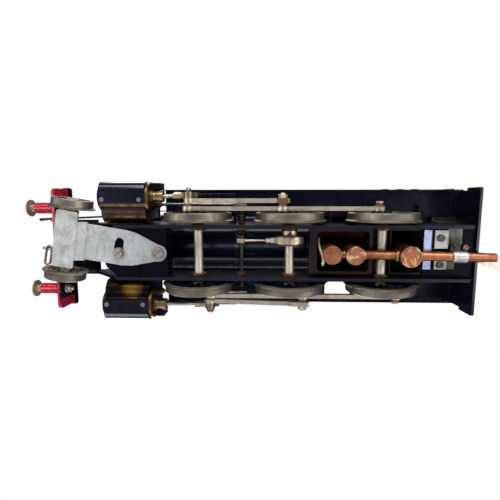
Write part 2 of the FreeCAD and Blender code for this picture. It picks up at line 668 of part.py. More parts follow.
# ---- frames, stretchers and platework ------------------------------------------------------------------
def frame_plate():
    z0, z1 = FRAME_LOW_Z, FRAME_TOP_Z
    outline = [
        (FRAME_REAR_X, z0 + 8), (FRAME_REAR_X + 6, z0), (113.0, z0), (117.3, 18.4), (137.4, 38.5),
        (BEAM_BACK_X, 38.5), (BEAM_BACK_X, BEAM_TOP_Z - 1.1), (132.0, BEAM_TOP_Z - 1.1),
        (126.0, z1), (FRAME_REAR_X, z1),
    ]
    plate = prism_y(outline, FRAME_Y)
    for x in AXLE_X:
        plate = cut(plate, rod_y(x, (10, 30), AXLE_Z, BUSH_R))
    plate = cut(plate, rod_y(ROCKER_X, (10, 30), ROCKER_Z, ROCKER_BUSH_R))
    openings = [
        box((x - 9, x + 9), (10, 30), (37.0, 45.5)) for x in (-30.0, 31.5, 66.0)
    ]
    openings = [rounded(o, 3.0, across_y) for o in openings]
    return cut(plate, *openings)


def make_frames():
    export("side_frames", pair(frame_plate()))


def make_bushes():
    """Flanged bronze bushes for the driving axles and the rocker shaft."""
    c = RUNNING_CLEARANCE
    bushes = []
    for x in AXLE_X:
        bush = fuse(rod_y(x, (14.3, 16.0), AXLE_Z, 5.0), rod_y(x, (14.3, 19.7), AXLE_Z, BUSH_R))
        bushes += pair(cut(bush, rod_y(x, (10, 30), AXLE_Z, AXLE_R + c)))
    rocker = fuse(
        rod_y(ROCKER_X, (14.3, 16.0), ROCKER_Z, ROCKER_BUSH_R + 1.0),
        rod_y(ROCKER_X, (14.3, 20.4), ROCKER_Z, ROCKER_BUSH_R),
    )
    bushes += pair(cut(rocker, rod_y(ROCKER_X, (10, 30), ROCKER_Z, ROCKER_SHAFT_R + c)))
    export("axle_bushes", *bushes)


def make_stretchers():
    """The pony pivot plate, the smokebox saddle, the front deck block and the rear cross plate."""
    inner = FRAME_Y[0] - FITTING_GAP
    half_outline = [
        (79.6, inner), (112.6, inner), (114.6, 13.6), (117.4, 11.6), (119.6, 9.6), (121.0, 6.0)
    ]
    pivot_plate = prism_z(half_outline + [(x, -y) for x, y in reversed(half_outline)], STRETCHER_Z)
    flanges = [box((x, x + 1.8), (-inner, inner), (STRETCHER_Z[1], 30.0)) for x in (79.6, 112.4)]
    bosses = [
        rod_z(PONY_PIVOT_X, 0, (PONY_PLATE_Z[1] + 0.05, STRETCHER_Z[0]), 4.0),
        rod_z(GUIDE_SCREW_X, 0, (PONY_PLATE_Z[1] + 0.4, STRETCHER_Z[0]), 3.2),
    ]
    plate = cut(
        fuse(pivot_plate, *bosses, *flanges),
        rod_z(PONY_PIVOT_X, 0, (10, 20), PIVOT_SHANK_R),
        rod_z(GUIDE_SCREW_X, 0, (10, 20), GUIDE_SHANK_R),
    )
    pad = box((98.0, 111.0), (-14.6, -8.4), (STRETCHER_Z[0] - 0.8, STRETCHER_Z[0]))
    saddle = cut(
        box((96.0, 121.0), (-inner, inner), (40.0, 60.0)),
        rod_x((80, 140), 0, BOILER_Z, SMOKEBOX_R + 0.02),
        rod_z(CHIMNEY_X, 0, (51.4, 60.0), BLAST_PIPE_R + 0.02),
    )
    deck = cut(
        box((137.7, 152.1), (-inner, inner), (36.5, BEAM_TOP_Z - 0.02)),
        box((140.0, 150.4), (-inner + 3, inner - 3), (36.0, 40.5)),
    )
    rear = box((-119.3, -87.6), (-inner, inner), (22.0, 24.0))
    rear = cut(
        rear,
        rod_z(DRAWBAR_PIVOT_X, 0, (20, 30), DRAWBAR_PIN_R),
        shank_hole(PLATE_SCREW_POINT, DOWN, PLATE_SHANK_R, 1.0),
    )
    export("frame_stretchers", fuse(plate, pad), saddle, deck, rear)


def make_running_boards():
    """Flat boards along each side on small brackets; the right one has a service opening."""
    z = BOARD_Z
    bracket_z = (46.5, z[0])
    middle_x = -31.5
    rear_x = -94.0
    y0 = FRAME_Y[1] + FITTING_GAP
    brackets = {x: box((x, x + 1.5), (y0, 30.0), bracket_z) for x in (rear_x, middle_x, 82.0)}
    feet = {x: box((x, x + 6.0), (y0, 19.2), bracket_z) for x in (rear_x, middle_x, 77.6)}
    edge = box(BOARD_X, (BOARD_Y[1] - 0.9, BOARD_Y[1]), (z[0] - 1.6, z[0]))
    board = fuse(box(BOARD_X, BOARD_Y, z), edge)
    heads = [rod_z(x, BOARD_Y[1] - 3.2, (z[0] - 0.4, z[0]), 0.9) for x in BOARD_SCREW_X]
    left = fuse(board, *brackets.values(), *feet.values(), *heads)
    opening = rounded(box((-47.5, -28.5), (26.0, 38.0), (40, 60)), 4.0, vertical_edge)
    kept = [shape for group in (brackets, feet) for x, shape in group.items() if x != middle_x]
    right = cut(fuse(board, *kept, *heads), opening)
    export("running_boards", left, mirrored(right))


def rounded_beam(half_width, z, x, r):
    beam = box(x, (-half_width, half_width), z)
    low = z[0]

    def corner(e):
        a, b = e.Vertexes[0].Point, e.Vertexes[-1].Point
        return abs(a.z - low) < 1e-6 and abs(b.z - low) < 1e-6 and abs(a.x - b.x) > 1e-6

    return rounded(beam, r, corner)


def make_buffer_beam():
    """The red beam, its short folded returns at the top corners, and the holes for buffers and hook."""
    beam = rounded_beam(BEAM_HALF_WIDTH, (BEAM_LOW_Z, BEAM_TOP_Z), (BEAM_BACK_X, BEAM_FRONT_X), 3.5)
    fold = box((156.5, BEAM_BACK_X), (35.0, BEAM_HALF_WIDTH), (BEAM_TOP_Z - 1.0, BEAM_TOP_Z))
    whole = fuse(beam, *pair(fold))
    tools = [rod_x((140, 170), s * BUFFER_Y, BUFFER_Z, BUFFER_TAIL_R + 0.1) for s in (1, -1)]
    tools.append(box((140, 170), (-0.72, 0.72), (BUFFER_Z - 2.8, BUFFER_Z + 2.8)))
    export("buffer_beam", cut(whole, *tools))


def make_front_platform():
    """The black tread plate, its rear rim and tongue, and a thin pipe back to the left cylinder."""
    z = (BEAM_TOP_Z, BEAM_TOP_Z + 1.4)
    rear_x = 154.3
    plate = box((rear_x, 160.6), (-42.4, 42.4), z)
    plate = rounded(plate, 1.8, lambda e: vertical_edge(e) and e.Vertexes[0].X < 155)
    tongue = box((136.0, rear_x), (-19.8, 19.8), z)
    lip = box((rear_x, rear_x + 1.0), (-34.0, 34.0), (BEAM_TOP_Z - 2.2, BEAM_TOP_Z))
    lip = cut(lip, box((140, 160), (-18.2, 18.2), (30, 60)))
    lamp_iron = box((159.0, 159.8), (-1.3, 1.3), (BEAM_TOP_Z + 1.4, 51.0))
    pipe_start = V(rear_x + 0.5, 21.0, BEAM_TOP_Z - 1.2)
    pipe_end_x = CYLINDER_X[1] + 0.6
    pipe_run = V(pipe_end_x - 2.0, 22.6, BEAM_TOP_Z - 2.6).sub(pipe_start)
    pipe = Part.makeCylinder(0.65, pipe_run.Length, pipe_start, pipe_run)
    pipe = cut(pipe, box((100, pipe_end_x), (0, 40), (30, 50)))
    export("front_platform", fuse(plate, tongue, lip, lamp_iron, pipe))


def make_drag_beam():
    """The rear beam, wide at the foot and slightly narrower at board level, slotted for the drawbar."""
    low = rounded_beam(42.0, (20.0, 36.0), DRAG_BEAM_X, 1.6)
    high = box(DRAG_BEAM_X, (-40.2, 40.2), (36.0, BOARD_Z[0]))
    slot = box((-130, -110), (-8.5, 8.5), (23.6, 27.0))
    edge = box((-119.5, -116.0), (-41.0, 41.0), (BOARD_Z[0] - 1.2, BOARD_Z[0]))
    edge = cut(edge, box((-125, -110), (-18.1, 18.1), (40, 60)))
    edge = cut(edge, *pair(box((-125, -110), (BOARD_Y[1] - 0.9, 50), (40, 60))))
    export("drag_beam", cut(fuse(low, high, edge), slot))


def make_rear_blocks():
    """Pale blocks, strip and plates under the rear cross plate, the side strip and the burner clip."""
    low_z, top_z = 19.0, 22.0
    left_block = box((-101.0, -92.6), (2.9, 14.6), (low_z, top_z))
    right_block = box((-100.7, -93.0), (-10.6, -5.1), (low_z, top_z))
    holes = [shank_hole((REAR_SCREW_X, y, low_z), DOWN, BLOCK_SCREW_R, top_z - low_z) for y in REAR_SCREW_Y]
    blocks = [cut(block, *holes) for block in (left_block, right_block)]
    strip = box((-91.6, -86.6), (-11.0, 14.6), (20.9, top_z))
    left_plate = box((-110.4, -101.5), (5.3, 15.9), (20.6, top_z))
    right_plate = box((-106.5, -101.5), (-10.6, -5.0), (20.6, top_z))
    strip_x = (-119.0, -102.5)
    side_strip = box(strip_x, (18.8, 21.8), (47.6, 49.0))
    web = box(strip_x, (FRAME_Y[1] + FITTING_GAP, 18.8), (40.0, 49.0))
    plates = [left_plate, right_plate]
    export("rear_blocks", *blocks, strip, *plates, fuse(side_strip, web), make_burner_clip())


# ---- buffers, coupling, hose and drawbar ---------------------------------------------------------------
def make_buffers():
    """Fixed stocks on the beam, and sprung heads whose stems carry a tail nut behind the beam."""
    guide_x = BEAM_FRONT_X + 6.0
    stem_hole_r = BUFFER_STEM_R + RUNNING_CLEARANCE
    tail_hole_r = BUFFER_TAIL_R + 0.1
    stock = turned_x(
        [(BEAM_FRONT_X, tail_hole_r), (BEAM_FRONT_X, 5.4), (BEAM_FRONT_X + 1.2, 5.4),
         (BEAM_FRONT_X + 2.0, BUFFER_STOCK_R + 0.5), (BEAM_FRONT_X + 3.4, BUFFER_STOCK_R),
         (BUFFER_STOCK_END_X, BUFFER_STOCK_R), (BUFFER_STOCK_END_X, stem_hole_r),
         (guide_x, stem_hole_r), (guide_x, tail_hole_r)],
        BUFFER_Y, BUFFER_Z,
    )
    export("buffer_stocks", pair(stock))
    head_x = BUFFER_HEAD_X
    tail_x = 151.4
    shoulder_x = guide_x + 3.4
    head = turned_x(
        [(head_x, 0), (head_x - 0.15, 2.6), (head_x - 0.7, 4.8), (head_x - 1.3, BUFFER_HEAD_R),
         (head_x - 2.0, BUFFER_HEAD_R), (head_x - 2.4, 3.2), (head_x - 2.6, BUFFER_STEM_R),
         (shoulder_x, BUFFER_STEM_R), (shoulder_x, BUFFER_TAIL_R), (tail_x, BUFFER_TAIL_R), (tail_x, 0)],
        BUFFER_Y, BUFFER_Z,
    )
    tail_hole = rod_x((140, 160), BUFFER_Y, BUFFER_Z, BUFFER_TAIL_R)
    tail_nut = cut(hex_x((tail_x + 1.8, tail_x + 4.0), BUFFER_Y, BUFFER_Z, 2.6), tail_hole)
    ring = cut(rod_x((tail_x + 4.0, tail_x + 5.0), BUFFER_Y, BUFFER_Z, 3.2), tail_hole)
    for name, flip in (("left", False), ("right", True)):
        solids = [head, tail_nut, ring]
        export("buffer_" + name, *[mirrored(s) if flip else s for s in solids])


def swept_wire(points, r):
    """A round bar along a smooth curve through the points."""
    curve = Part.BSplineCurve()
    curve.interpolate([V(*p) for p in points])
    path = Part.Wire(curve.toShape())
    start = curve.value(curve.FirstParameter)
    tangent = curve.tangent(curve.FirstParameter)[0]
    circle = Part.Wire(Part.makeCircle(r, start, tangent))
    return path.makePipeShell([circle], True, True)


def make_brake_hose():
    """A flexible hose on a standpipe that rises from the beam and bends over forward."""
    y = 20.4
    pipe_x = 162.8
    hose_r = 0.9
    bend_r = 4.2
    bend_z = 47.6
    end_x = pipe_x + 2 * bend_r
    ring = Part.makeTorus(bend_r, hose_r, V(pipe_x + bend_r, y, bend_z), V(0, 1, 0))
    bend = ring.common(box((150, 190), (y - 2, y + 2), (bend_z, 70)))
    rise = rod_z(pipe_x, y, (36.0, bend_z), hose_r)
    fall = rod_z(end_x, y, (34.0, bend_z), hose_r)
    standpipe = fuse(rod_z(pipe_x, y, (31.0, 37.1), 1.3), rod_x((BEAM_FRONT_X, pipe_x), y, 33.0, 1.1))
    coupler = rod_z(end_x, y, (31.6, 35.1), 1.1)
    export("brake_hose", fuse(standpipe, rise, bend, fall, coupler))


def make_coupling():
    """A flat hook through the beam, its beak turned up, and a long link that hangs in its eye."""
    z = BUFFER_Z
    half = 0.7
    y = (-half, half)
    shank = box((153.5, HOOK_EYE_X - 2.6), y, (z - 2.7, z + 2.7))
    nose = rod_y(HOOK_EYE_X, y, z, 2.8)
    throat = box((HOOK_EYE_X - 2.8, HOOK_EYE_X + 0.9), y, (z, z + 3.2))
    beak_x = HOOK_EYE_X + 9.5
    beak = prism_y(
        [(HOOK_EYE_X + 0.6, z + 1.9), (beak_x - 3.9, z + 1.9), (beak_x - 1.2, z + 3.0), (beak_x, z + 5.0),
         (beak_x - 0.8, z + 6.2), (beak_x - 1.9, z + 4.9), (beak_x - 4.3, z + 4.2),
         (HOOK_EYE_X + 0.6, z + 4.6)], y,
    )
    eye = rod_y(HOOK_EYE_X, (-5, 5), z, 1.4)
    export("coupling_hook", cut(fuse(shank, nose, throat, beak), eye))
    bend_r = 1.9
    reach = 13.0
    centre_x = HOOK_EYE_X + bend_r
    far_y = 2 * bend_r - reach
    sides = [rod_y(centre_x + s * bend_r, (far_y, 0), z, LINK_R) for s in (-1, 1)]
    bend_z = (z - 5, z + 5)
    near = Part.makeTorus(bend_r, LINK_R, V(centre_x, 0, z)).common(box((0, 200), (0, 10), bend_z))
    far = Part.makeTorus(bend_r, LINK_R, V(centre_x, far_y, z)).common(box((0, 200), (-50, far_y), bend_z))
    link = fuse(near, far, *sides)
    link.rotate(V(0, 0, z), V(1, 0, 0), LINK_DROOP_DEG)
    export("coupling_link", link)


def make_drawbar():
    """A flat bar on a vertical pin above the rear cross plate, swung to one side as it rests."""
    half = 3.0
    x0 = DRAWBAR_PIVOT_X
    bar = box((x0 - DRAWBAR_LENGTH, x0), (-half, half), DRAWBAR_Z)
    ends = [rod_z(x, 0, DRAWBAR_Z, half) for x in (x0, x0 - DRAWBAR_LENGTH)]
    bar = fuse(bar, *ends)
    bar = cut(
        bar,
        rod_z(x0, 0, (20, 30), DRAWBAR_PIN_R + RUNNING_CLEARANCE),
        rod_z(x0 - DRAWBAR_LENGTH, 0, (20, 30), DRAWBAR_EYE_R),
    )
    export("drawbar", turned_about_z(bar, x0, -DRAWBAR_SWING_DEG))
    pin = fuse(
        rod_z(x0, 0, (22.0, 26.2), DRAWBAR_PIN_R),
        rod_z(x0, 0, (DRAWBAR_Z[1] + 0.2, 27.0), 2.6),
        rod_z(x0, 0, (24.0, DRAWBAR_Z[0] - 0.1), 2.4),
    )
    return pin


# ---- pony truck ----------------------------------------------------------------------------------------
def arc_slot(centre_x, radius, half_deg, r):
    """A vertical cutter for a slot that curves about (centre_x, 0)."""
    z = (5, 20)
    a = math.radians(half_deg)
    far = 2 * radius
    ends = [rod_z(centre_x + radius * math.cos(a), s * radius * math.sin(a), z, r) for s in (-1, 1)]
    band = cut(rod_z(centre_x, 0, z, radius + r), rod_z(centre_x, 0, (0, 30), radius - r))
    wedge = prism_z(
        [(centre_x, 0), (centre_x + far * math.cos(a), -far * math.sin(a)),
         (centre_x + far * math.cos(a), far * math.sin(a))],
        z,
    )
    return fuse(band.common(wedge), *ends)


def make_pony_truck():
    """The truck is drawn straight ahead and then swung about its pivot to its rest position."""
    px = PONY_PIVOT_X
    z0, z1 = PONY_PLATE_Z
    c0, c1 = PONY_CROSS_Z
    sheet = z1 - z0
    tail = rod_z(px, 0, PONY_PLATE_Z, 5.4)
    half_outline = [(px + 0.6, 5.4), (px + 15.5, 10.6), (px + 22.0, 11.5), (px + 47.0, 11.5)]
    outline = half_outline + [(x, -y) for x, y in reversed(half_outline)]
    flat = prism_z(outline, PONY_PLATE_Z)
    cross_x = (px + 52.1, px + 66.1)
    slope = [
        (px + 46.99, z0), (px + 48.0, z0 - 0.25), (px + 50.8, c0 + 0.3), (cross_x[0] + 0.01, c0),
        (cross_x[0] + 0.01, c1), (px + 51.2, c0 + sheet + 0.25), (px + 48.4, z1 - 0.25), (px + 46.99, z1),
    ]
    bend = prism_y(slope, (-12.5, 12.5))
    cross = rounded(box(cross_x, (-18.2, 18.2), PONY_CROSS_Z), 1.5, vertical_edge)
    ax = px + PONY_AXLE_AHEAD
    ear = fuse(
        box((ax - 4.5, ax + 4.5), (17.0, 18.2), (c0, PONY_WHEEL_R)),
        rod_y(ax, (17.0, 18.2), PONY_WHEEL_R, 4.5),
    )
    plate = cut(
        fuse(tail, flat, bend, cross, *pair(ear)),
        arc_slot(px, PONY_SLOT_RADIUS, PONY_SLOT_HALF_DEG, PONY_SLOT_R),
        rod_z(px, 0, (5, 20), PIVOT_SHANK_R + RUNNING_CLEARANCE),
        rod_y(ax, (-30, 30), PONY_WHEEL_R, PONY_AXLE_R + RUNNING_CLEARANCE),
    )
    export("pony_plate", turned_about_z(plate, px, PONY_SWING_DEG))
    wheelset = pony_wheelset(ax)
    export("pony_wheelset", [turned_about_z(solid, px, PONY_SWING_DEG) for solid in wheelset])


def pony_wheelset(x):
    """A plain axle and two disc wheels with six round holes each, drawn square to the truck."""
    axle = rod_y(x, (-25.4, 25.4), PONY_WHEEL_R, PONY_AXLE_R)
    axle = axle.makeChamfer(0.4, [e for e in axle.Edges if e.Closed])
    y0, y1 = TYRE_Y
    r = PONY_WHEEL_R
    boss_r = 4.0
    profile = [
        (PONY_AXLE_R, 18.6), (boss_r, 18.6), (boss_r, y0 + 0.8), (r - 2.6, y0 + 0.8), (r - 2.2, y0),
        (r + FLANGE_HEIGHT - 0.5, y0), (r + FLANGE_HEIGHT, y0 + 0.4), (r + FLANGE_HEIGHT, y0 + 0.8),
        (r + 0.25, y0 + FLANGE_WIDTH), (r, y0 + FLANGE_WIDTH + 0.4), (r - 0.1, y1 - 0.4), (r - 0.5, y1),
        (r - 2.2, y1), (r - 2.6, y1 - 1.4), (boss_r + 0.4, y1 - 1.4), (boss_r, y1), (PONY_AXLE_R, y1),
    ]
    hole_circle_r = 7.1
    holes = [
        rod_y(x + hole_circle_r * math.cos(math.radians(60 * i)), (10, 30),
              r + hole_circle_r * math.sin(math.radians(60 * i)), 1.6)
        for i in range(6)
    ]
    wheel = cut(turned_y(profile, x, r), *holes)
    return [axle] + pair(wheel)


# ---- boiler, smokebox and fittings ---------------------------------------------------------------------
def ring_x(x, z, outer_r, inner_r):
    return cut(rod_x(x, 0, z, outer_r), rod_x((x[0] - 1, x[1] + 1), 0, z, inner_r))


def make_boiler():
    barrel = ring_x(BOILER_X, BOILER_Z, BOILER_R, BOILER_R - 0.8)
    dome_hole = rod_z(DOME_X, 0, (95, 110), 4.1)
    export("boiler_barrel", cut(barrel, dome_hole))
    bands = [ring_x((x - 1.1, x + 1.1), BOILER_Z, BOILER_R + 0.5, BOILER_R) for x in (37.0,)]
    bands.append(ring_x((BOILER_X[0], BOILER_X[0] + 2.2), BOILER_Z, BOILER_R + 0.5, BOILER_R))
    bands.append(ring_x((BOILER_X[1] - 2.4, BOILER_X[1] - 0.1), BOILER_Z, BOILER_R + 0.5, BOILER_R))
    export("boiler_bands", *bands)
    shell = cut(rod_x((-72.0, 90.0), 0, BOILER_Z, 20.0), rod_x((-70.6, 88.6), 0, BOILER_Z, 18.8))
    rings = [ring_x((x, x + 3.0), BOILER_Z, BOILER_R - 0.82, 20.0) for x in (-12.0, 84.0)]
    bush = rod_z(DOME_X, 0, (BOILER_Z + 18.0, 104.0), 4.0)
    bush = cut(bush, rod_x((-80, 90), 0, BOILER_Z, 20.0))
    return fuse(shell, *rings, bush)


def make_smokebox():
    """The smokebox shell with its riveted front ring; returns the blast pipe and the petticoat inside."""
    x0, x1 = SMOKEBOX_X
    shell = ring_x(SMOKEBOX_X, BOILER_Z, SMOKEBOX_R, SMOKEBOX_R - 1.2)
    front = cut(rod_x((x1, x1 + 1.4), 0, BOILER_Z, SMOKEBOX_R), rod_x((x1 - 1, x1 + 3), 0, BOILER_Z, 16.0))
    back = ring_x((x0, x0 + 1.2), BOILER_Z, SMOKEBOX_R - 1.2, 6.0)
    chimney_hole = rod_z(CHIMNEY_X, 0, (95, 110), 4.2)
    pipe_hole = rod_z(CHIMNEY_X, 0, (45, 60), BLAST_PIPE_R)
    shell = cut(fuse(shell, front, back), chimney_hole, pipe_hole)
    rivet_circle_r = 22.6
    rivets = []
    for i in range(24):
        a = math.radians(15 * i + 7.5)
        rivet_y, rivet_z = rivet_circle_r * math.cos(a), BOILER_Z + rivet_circle_r * math.sin(a)
        rivets.append(rod_x((x1 + 1.4, x1 + 1.9), rivet_y, rivet_z, 0.55))
    export("smokebox", fuse(shell, *rivets))
    blast = cut(rod_z(CHIMNEY_X, 0, (51.5, 76.0), BLAST_PIPE_R), rod_z(CHIMNEY_X, 0, (51, 77), 1.6))
    petticoat = [(4.2, 92.0), (7.0, 86.0), (7.6, 86.0), (4.9, 92.2), (4.9, 101.3), (4.2, 101.3)]
    cone = turned_z(petticoat, CHIMNEY_X, 0)
    return blast, cone


def make_smokebox_door():
    """A dished door with two hinge straps on the left, a dart and a handwheel."""
    x = SMOKEBOX_X[1] + 1.5
    dish = turned_x(
        [(x, 0), (x, DOOR_R), (x + 0.8, DOOR_R), (x + 2.2, DOOR_R * 0.78), (x + 3.2, DOOR_R * 0.4),
         (x + 3.6, 0)],
        0, BOILER_Z,
    )
    under_strap = turned_x(
        [(x - 1, 0), (x - 1, DOOR_R + 9), (x + 0.9, DOOR_R + 9), (x + 0.9, DOOR_R + 0.6),
         (x + 2.8, DOOR_R * 0.8), (x + 3.9, DOOR_R * 0.2), (x + 3.9, 0)],
        0, BOILER_Z,
    )
    straps = []
    for z in (BOILER_Z - 8.0, BOILER_Z + 8.0):
        strap = box((x + 0.4, x + 3.9), (-6.0, DOOR_HINGE_Y), (z - 1.0, z + 1.0))
        straps.append(cut(strap, under_strap))
        straps.append(rod_z(x + 1.6, DOOR_HINGE_Y, (z - 1.6, z + 1.6), 1.2))
    dart = fuse(
        rod_x((x + 3, x + 6.4), 0, BOILER_Z, 1.0), rod_x((x + 3.4, x + 4.4), 0, BOILER_Z, 2.2),
        rod_y(x + 5.4, (-5.0, 5.0), BOILER_Z, 0.6),
    )
    rail = fuse(
        rod_y(x + 4.6, (-9.0, 9.0), BOILER_Z + 11.5, 0.5),
        *[rod_x((x + 0.5, x + 4.6), y, BOILER_Z + 11.5, 0.6) for y in (-8.0, 8.0)],
    )
    export("smokebox_door", fuse(dish, dart, rail, *straps))


def make_chimney():
    z0 = BOILER_Z + SMOKEBOX_R
    profile = [
        (4.3, z0 - 5), (10.0, z0 - 5), (9.4, z0 - 0.6), (7.2, z0 + 1.4), (6.3, z0 + 4.0), (6.0, z0 + 15.0),
        (6.5, z0 + 17.5), (7.4, z0 + 18.0), (7.4, z0 + 19.4), (6.6, z0 + 20.2), (5.1, z0 + 20.2),
        (4.3, z0 + 12),
    ]
    chimney = turned_z(profile, CHIMNEY_X, 0)
    export("chimney", cut(chimney, rod_x((80, 140), 0, BOILER_Z, SMOKEBOX_R + 0.02)))


def make_dome():
    z0 = BOILER_Z + BOILER_R
    profile = [
        (4.1, z0 - 4), (12.6, z0 - 4), (11.8, z0 - 0.6), (9.4, z0 + 1.6), (8.8, z0 + 4.0),
        (8.8, z0 + 10.0), (8.3, z0 + 12.4), (6.9, z0 + 14.6), (4.6, z0 + 16.0), (0, z0 + 16.5),
        (0, z0 + 3.0), (4.1, z0 + 3.0),
    ]
    dome = turned_z(profile, DOME_X, 0)
    export("steam_dome", cut(dome, rod_x((-20, 80), 0, BOILER_Z, BOILER_R + 0.02)))


def round_top(x, half_width, z_low, grow):
    """A body with flat sides and a half-round top on the boiler's centre line."""
    r = half_width + grow
    return fuse(rod_x(x, 0, BOILER_Z, r), box(x, (-r, r), (z_low, BOILER_Z)))


def make_firebox():
    """The round-topped wrapper above the frames and the burner housing between them."""
    x0, x1 = FIREBOX_X
    z_low = BOARD_Z[1] + 0.1
    outer = cut(
        round_top((x0, x1), FIREBOX_HALF_WIDTH, z_low, 0.0),
        box((x0 - 1, x1 + 1), (-40, 40), (0, z_low)),
    )
    inner = cut(
        round_top((x0 - 2, x1 - 1.2), FIREBOX_HALF_WIDTH, z_low - 5, -1.2),
        box((x0 - 1, x1 + 1), (-40, 40), (0, z_low - 5)),
    )
    throat_hole = rod_x((x1 - 3, x1 + 3), 0, BOILER_Z, 20.1)
    valve_hole = rod_z(SAFETY_VALVE_X, 0, (95, 110), 2.1)
    export("firebox_wrapper", cut(outer, inner, throat_hole, valve_hole))


def make_burner_housing():
    """A heat-stained sheet box, open below in two bays, with a bridge over the rear axle."""
    half = 15.4
    wall = 0.8
    x0, x1 = BURNER_BOX_X
    z0, z1 = BURNER_BOX_Z
    outer = box((x0, x1), (-half, half), (z0, z1))
    inner = box((x0 + wall, x1 - wall), (-half + wall, half - wall), (z0 - 1, z1 + 1))
    tunnel = box(BRIDGE_X, (-20, 20), (z0 - 1, 28.0))
    shell = cut(outer, inner, tunnel)
    bridge_top = box(BRIDGE_X, (-half, half), (28.0, 28.8))
    bridge_sides = [
        box((x, x + wall), (-half, half), (z0, 40.0)) for x in (BRIDGE_X[0] - wall, BRIDGE_X[1])
    ]
    flange_outer = box((x0 + 0.2, x1 + 2.4), (-half, half), (z0, z0 + wall))
    flange_hole_a = box((-52.6, -18.6), (-13.2, 13.2), (z0 - 1, z0 + 2))
    flange_hole_b = box((x0 + 0.4, -66.8), (-13.8, 13.8), (z0 - 1, z0 + 2))
    flange = cut(flange_outer, rounded(flange_hole_a, 2.5, vertical_edge), flange_hole_b, tunnel)
    export("burner_housing", fuse(shell, bridge_top, flange, *bridge_sides))


def in_burner_line(shape):
    """The burner stands slightly skewed in the frames; this turns a straight shape to its line."""
    copy = shape.copy()
    copy.rotate(V(WICK_POTS[0][0], 0, 0), V(0, 0, 1), BURNER_TURN_DEG)
    copy.translate(V(0, BURNER_SHIFT_Y, 0))
    return copy


def make_burner():
    """A copper tube below the axle that feeds three closed-bottom wick pots, each with a rolled foot."""
    z0, z1 = POT_Z
    first_x, second_x, last_x = [x for x, _ in WICK_POTS]
    r = BURNER_TUBE_R
    spigot_x = BURNER_TUBE_END_X + BURNER_SPIGOT_LENGTH
    tube = rod_x((spigot_x, second_x), 0, BURNER_TUBE_Z, r)
    spigot = rod_x((BURNER_TUBE_END_X, spigot_x), 0, BURNER_TUBE_Z, BURNER_SPIGOT_R)
    link = rod_x((second_x, first_x), 0, BURNER_TUBE_Z, BURNER_LINK_R)
    pots = [rod_z(x, 0, (z0, z1), pot_r) for x, pot_r in WICK_POTS]
    faces = [x - pot_r for x, pot_r in WICK_POTS[1:]]
    sockets = [rod_x((x - 0.9, x + 1.2), 0, BURNER_TUBE_Z, r + 0.45) for x in faces]
    last_face = last_x + WICK_POTS[2][1]
    sockets.append(rod_x((last_face - 1.2, last_face + 0.9), 0, BURNER_TUBE_Z, r + 0.45))
    link_ends = (second_x + WICK_POTS[1][1], first_x - WICK_POTS[0][1])
    sockets += [rod_x((x - 0.7, x + 0.7), 0, BURNER_TUBE_Z, BURNER_LINK_R + 0.5) for x in link_ends]
    body = fuse(tube, spigot, link, *pots, *sockets)
    wall = 0.7
    floor = 0.8
    recess = 0.4
    hollows = [rod_z(x, 0, (z0 + recess + floor, z1 + 1), pot_r - wall) for x, pot_r in WICK_POTS]
    feet = [rod_z(x, 0, (z0 - 1, z0 + recess), pot_r - 1.0) for x, pot_r in WICK_POTS]
    bore = rod_x((BURNER_TUBE_END_X - 1, second_x), 0, BURNER_TUBE_Z, r - wall)
    link_bore = rod_x((second_x, first_x), 0, BURNER_TUBE_Z, BURNER_LINK_R - wall)
    export("burner", in_burner_line(cut(body, *hollows, *feet, bore, link_bore)))


def make_wicks():
    """A packed wick in each pot; a stray strand hangs over the front pot."""
    wicks = []
    tube_bore = rod_x((BURNER_TUBE_END_X, WICK_POTS[1][0]), 0, BURNER_TUBE_Z, BURNER_TUBE_R - 0.6)
    link_bore = rod_x((WICK_POTS[1][0], WICK_POTS[0][0]), 0, BURNER_TUBE_Z, BURNER_LINK_R - 0.6)
    top = POT_Z[1]
    for x, r in WICK_POTS:
        profile = [
            (0, 10.4), (r - 0.8, 10.4), (r - 0.8, top), (r - 0.4, top + 3), (r - 1.6, top + 5.6),
            (0, top + 6.4),
        ]
        wicks.append(in_burner_line(cut(turned_z(profile, x, 0), tube_bore, link_bore)))
    strand = swept_wire(
        [(-19.9, 9.0, 30.0), (-19.5, 7.0, 27.0), (-19.4, 3.4, 20.0), (-19.3, 0.4, 14.5),
         (-19.2, -4.4, 12.5)],
        0.45,
    )
    export("wicks", *wicks, strand)


def make_burner_clip():
    """A bright spring clip round the tube, screwed to the left rear plate beside it."""
    x = (-110.4, -101.6)
    tab_x = (x[0] + 1.5, x[1] - 1.5)
    tube_hole = rod_x((-120, -90), 0, BURNER_TUBE_Z, BURNER_TUBE_R)
    band = rod_x(x, 0, BURNER_TUBE_Z, BURNER_TUBE_R + 0.8)
    web = box(tab_x, (2.0, 2.9), (16.6, CLIP_TAB_Z))
    tab = box(tab_x, (2.0, 10.6), (CLIP_TAB_Z - 1.0, CLIP_TAB_Z))
    clip = in_burner_line(cut(fuse(band, web, tab), tube_hole))
    return cut(clip, shank_hole(CLIP_SCREW_POINT, DOWN, CLIP_SHANK_R, 2.0))


